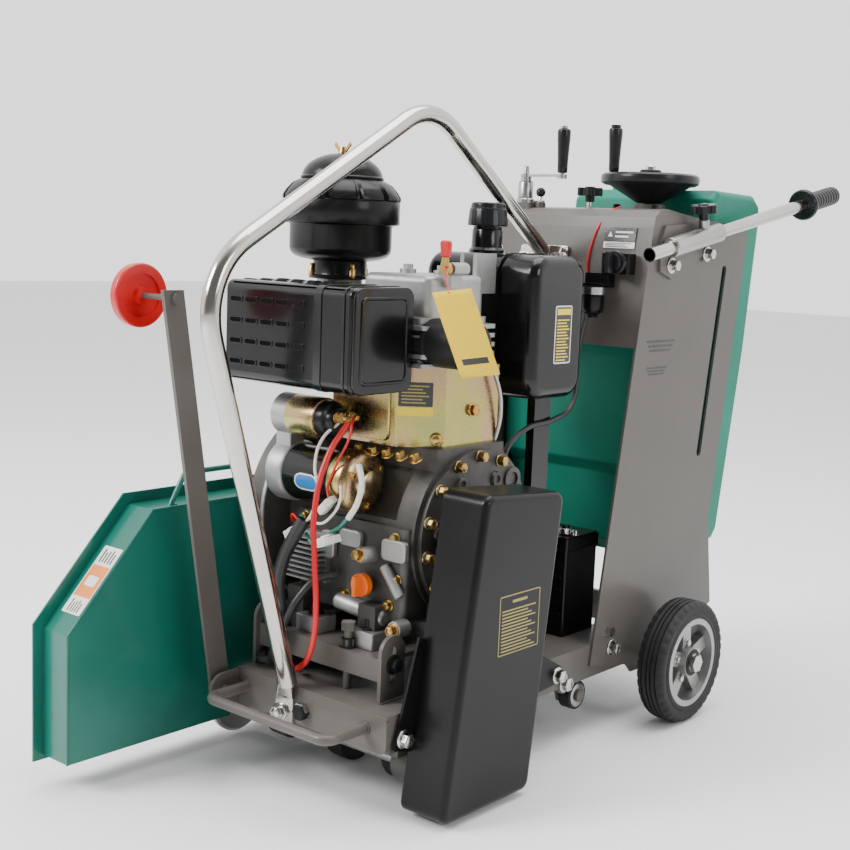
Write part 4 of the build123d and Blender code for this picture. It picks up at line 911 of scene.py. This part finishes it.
def cranks():
    """Waisted grips, the handwheel's dished face and hub, and the crank's post."""
    waist = [(0, 0), (7.2, 0), (8.6, 2), (8.9, 8), (9.2, 20), (10.2, 40), (11.2, 56), (11.6, 66),
             (11.0, 70.5), (8, 72.6), (5.2, 73)]
    top = turned("lift_wheel_grip", [(radius, 888 + along) for radius, along in waist], (3, 608, 0),
                 UP, KNOB, "lift_wheel_knob", around=40)
    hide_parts("handwheel_grip")
    small = turned("throttle_grip_waisted", [(radius * 0.96, 882 + along) for radius, along in waist],
                   (-54, 540, 0), UP, KNOB, "throttle_grip", around=40)
    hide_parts("crank_grip")
    turned("lift_wheel_hub", [(10.3, 886), (17, 886), (18, 887), (18, 892), (16.5, 893.5), (10.3, 893.5)],
           LIFT_WHEEL, UP, KNOB, "lift_wheel", around=40)
    turned("lift_wheel_nut", [(0, 893), (8.6, 893), (8.6, 899), (7, 900.5), (0, 901)], LIFT_WHEEL, UP, ZINC,
           "lift_wheel", around=6)
    turned("lift_wheel_bead", [(71, 868.4), (75, 867.2), (81.6, 871), (82.2, 877), (81.4, 883), (77, 886.3),
                               (70, 886.4)], LIFT_WHEEL, UP, KNOB, "lift_wheel", around=96)
    turned("crank_post_collar", [(12.1, 832), (15, 832), (15, 838), (13, 840), (12.1, 840)], CRANK_POST, UP,
           STEEL, around=36)
    turned("crank_post_sleeve", [(12.1, 841), (12.6, 841.5), (12.6, 866), (12.1, 867)], CRANK_POST, UP,
           STEEL, around=36)
    turned("crank_pin_top", [(0, 880), (4.6, 880), (4.6, 892), (2.2, 896), (0, 897)], CRANK_POST, UP, STEEL,
           "throttle", around=28)
    turned("stop_stem", [(3.1, 833), (3.4, 833.3), (3.4, 843), (3.1, 843.4)], (-96, 540, 0), UP, ZINC,
           "engine_stop", around=20)


cranks()


# ---------------------------------------------------------------- tanks, filter, battery, guard
def tank_details():
    """Caps, necks and bands of the two tanks, the fuel filter and the switch."""

    def water_cap_ribs(index, step):
        return 0.965 if step % 5 == 0 and 2 <= index <= 4 else 1.0

    turned("water_cap", [(0, 872), (30, 872), (33, 873), (33.6, 876), (33.6, 884), (31, 888), (22, 889.5),
                         (0, 890)], (-80, 790, 0), UP, KNOB, around=60, wave=water_cap_ribs)
    turned("fuel_cap_ribs", [(29.4, 789), (30.4, 790), (28.4, 812), (27.4, 815), (24, 819)], FUEL_FILLER,
           UP, KNOB, "tank_cap", around=60, wave=lambda index, step: 1.02 if step % 3 == 0 else 1.0)
    turned("fuel_neck", [(22.2, 746), (26, 746), (27.5, 747.5), (27.5, 752), (24, 756), (23.4, 782),
                         (22.2, 784)], FUEL_FILLER, UP, BLACK_GLOSS, around=48)
    # clear bowl and clamp of the fuel filter
    turned("filter_band", [(20.1, 688.5), (21.4, 688.7), (21.4, 700), (20.1, 700.3)], FUEL_FILTER, UP, ZINC,
           around=48)
    turned("filter_bowl", [(16.1, 687), (18.6, 686), (18.6, 668), (16, 661), (11, 657.5), (9, 655), (9, 652),
                           (0, 651.5)], FUEL_FILTER, UP, MOULDED, around=48)
    turned("switch_bezel", [(14.4, 0), (18.5, 0), (18.5, 4), (17, 5.6), (14.4, 5.6)], (112, 461, 740),
           FRONT, KNOB, around=40)
    wire("panel_wire", [(40, 491, 722), (38, 493, 742), (42, 500, 776), (50, 506, 800), (56, 522, 819),
                        (58, 548, 828)], 2.0, WIRE_RED)
    # battery: lid seam, vent plugs, terminals and hold-down
    bm = bmesh.new()
    add_frame(bm, rounded(122, 94, 5), rounded(116, 88, 4), (34, 440, 284), DRIVE, UP, 2.2, 0)
    for x in (16, 30, 44, 58):
        add_turned(bm, [(0, 0), (7, 0), (7, 2.4), (5.6, 3.2), (0, 3.2)], (x, 456, 305.8), UP, 24)
    for level in (180, 200, 220, 240, 260):
        add_prism(bm, rounded(104, 5, 2), (34, 396.2, level), DRIVE, FRONT, 1.4)
    finish_piece(bm, "battery_trim", MOULDED, bevel=0.5)
    bm = bmesh.new()
    for x in (-4, 72):
        add_turned(bm, [(7.1, 0), (10.5, 0), (10.5, 9), (7.1, 9)], (x, 420, 308), UP, 28)
        add_prism(bm, rounded(20, 9, 2), (x + 14, 420, 308), DRIVE, UP, 8)
        add_bolt(bm, (x + 19, 415, 312), FRONT, 8, 5)
    finish_piece(bm, "battery_clamps", ZINC, bevel=0.5)


tank_details()


def guard_details():
    """Rolled edge, spot welds and the pivot's nylon bush."""
    bm = bmesh.new()
    inner = [(-319, 43), (-319, 223), (-179, 377), (240, 377), (272, 340), (272, 43)]
    for start, end in zip(inner, inner[1:]):
        start3, end3 = Vector((-212.6, *start)), Vector((-212.6, *end))
        run = end3 - start3
        add_turned(bm, disc(1.7, run.length), start3, run, 12)
    finish_piece(bm, "guard_edge", GREEN_DARK, "guard")
    turned("guard_bush", [(8.2, 0), (17, 0), (17, 2.4), (15.5, 3.2), (8.2, 3.2)], (-212, 230, 130),
           DRIVE, KNOB, "guard", around=40)
    bm = bmesh.new()
    for y in (-132, 14):
        add_turned(bm, [(0, 0), (6.5, 0), (5.2, 2.4), (0, 3)], (-226, y, 376.8), UP, 20)
    finish_piece(bm, "guard_handle_welds", GREEN_DARK, "guard")


guard_details()


def front_rollers():
    """Steel side plates on each front wheel and on the side roller."""
    for word, low, high in (("right", -64, -29), ("left", 49, 84)):
        for face, out in ((low, -1), (high, 1)):
            turned("front_roller_face_" + word + ("_outer" if out > 0 else "_inner"),
                   [(7.3, -1.6), (13, -1.6), (13.6, -0.4), (24, -3.0), (26.6, -3.0)], (face, 62, 42),
                   (out, 0, 0), STEEL, "front_roller_" + word, around=40)
    turned("side_roller_face", [(6.3, 0.1), (9, 0.3), (9.4, 0.9), (17, 0.9), (18.4, 0.2)], (138.9, 379, 66),
           DRIVE, STEEL, "side_roller", around=40)


front_rollers()


# ---------------------------------------------------------------- decompression lever and hang tag
def hang_tag():
    """A blank card on a red string beside the decompression lever; both stay with the chassis."""
    rows, columns = 14, 6
    across_dir = Vector((0.76, 0.65, 0))
    down_dir = (across_dir * 0.36 - Vector((0, 0, 0.93))).normalized()
    wide_dir = (across_dir * 0.95 + Vector((0, 0, 0.14))).normalized()
    front = Vector((0.6, -0.76, 0.1))
    bm = bmesh.new()
    grid = []
    for row in range(rows + 1):
        down = row / rows
        line = []
        for column in range(columns + 1):
            across = column / columns - 0.5
            bulge = 5 * math.sin(math.pi * down) + 3 * math.cos(math.pi * across) - 5 * down * across
            spot = Vector((136, 32, 700)) + wide_dir * (52 * across) + down_dir * (120 * down) + front * bulge
            line.append(bm.verts.new(at(*spot)))
        grid.append(line)
    for row in range(rows):
        for column in range(columns):
            face = bm.faces.new((grid[row][column], grid[row][column + 1], grid[row + 1][column + 1],
                                 grid[row + 1][column]))
            face.material_index = 1 if row == 11 and 1 <= column <= 4 else 0
    card = finish_piece(bm, "hang_tag", [CARD, LABEL_BLACK])
    thick = card.modifiers.new("thickness", "SOLIDIFY")
    thick.thickness = 0.0006
    wire("hang_tag_string", [(80, 86, 733), (90, 74, 724), (112, 50, 711), (136, 27, 697)], 1.0, WIRE_RED)


def decompression_lever():
    """A plated pressed lever with a red sleeve on its tip, in place of the plain one."""
    bm = bmesh.new()
    add_turned(bm, disc(4, 34), (80, 124, 726), FRONT, 28)
    add_turned(bm, [(0, 0), (8.5, 0), (8.5, 5), (7, 7), (0, 7)], (80, 91, 726), FRONT, 32)
    outline = [(-6, -8), (5, -8), (8, 2), (6, 16), (7, 26), (-1, 28), (-5, 14), (-8, 2)]
    add_prism(bm, outline, (80, 85, 726), DRIVE, FRONT, 3.2)
    lever = finish_piece(bm, "decompression_arm", GOLD, "decompressor", bevel=0.6)
    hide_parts("decompression_lever")
    bm = bmesh.new()
    add_prism(bm, [(-5, 14), (9, 14), (10, 34), (7, 37), (-5, 37), (-7, 34)], (80, 87, 728), DRIVE,
              FRONT, 8)
    finish_piece(bm, "decompression_tip", RED, "decompressor", bevel=2.0)


decompression_lever()
hang_tag()


# ---------------------------------------------------------------- room
def area_light(name, place, target, size, power):
    data = bpy.data.lights.new(name, "AREA")
    data.size = size
    data.energy = power
    lamp = bpy.data.objects.new(name, data)
    bpy.context.scene.collection.objects.link(lamp)
    lamp.location = place
    lamp.rotation_euler = (Vector(target) - Vector(place)).to_track_quat("-Z", "Y").to_euler()


def make_room():
    mesh = bpy.data.meshes.new("floor")
    half = 14.0
    mesh.from_pydata([(-half, -half, 0), (half, -half, 0), (half, half, 0), (-half, half, 0)], [],
                     [(0, 1, 2, 3)])
    floor = bpy.data.objects.new("floor", mesh)
    bpy.context.scene.collection.objects.link(floor)
    mesh.materials.append(material("pale_floor", (0.93, 0.93, 0.93), 0.8, vary=0.01, grain=60, bump=0.01))
    world = bpy.data.worlds.new("soft_sky")
    world.use_nodes = True
    nodes, links = world.node_tree.nodes, world.node_tree.links
    nodes["Background"].inputs["Strength"].default_value = 1.8
    # a bright sky behind the machine, and a darker one on the side that its front faces
    place = nodes.new("ShaderNodeTexCoord")
    facing = nodes.new("ShaderNodeVectorMath")
    facing.operation = "DOT_PRODUCT"
    facing.inputs[1].default_value = (0.6, -0.8, 0)
    ramp = nodes.new("ShaderNodeValToRGB")
    links.new(place.outputs["Generated"], facing.inputs[0])
    links.new(facing.outputs["Value"], ramp.inputs["Fac"])
    links.new(ramp.outputs["Color"], nodes["Background"].inputs["Color"])
    ramp.color_ramp.elements[0].position = 0.1
    ramp.color_ramp.elements[0].color = (1, 1, 1, 1)
    ramp.color_ramp.elements[1].position = 0.6
    ramp.color_ramp.elements[1].color = (0.12, 0.12, 0.12, 1)
    bpy.context.scene.world = world
    area_light("key", (-1.6, -3.2, 2.6), (0, 0, 0.45), 1.5, 170)
    area_light("top", (0.2, 0.2, 3.4), (0, 0, 0.4), 2.4, 90)
    area_light("side", (3.4, -0.4, 1.8), (0, 0, 0.5), 1.2, 30)


make_room()
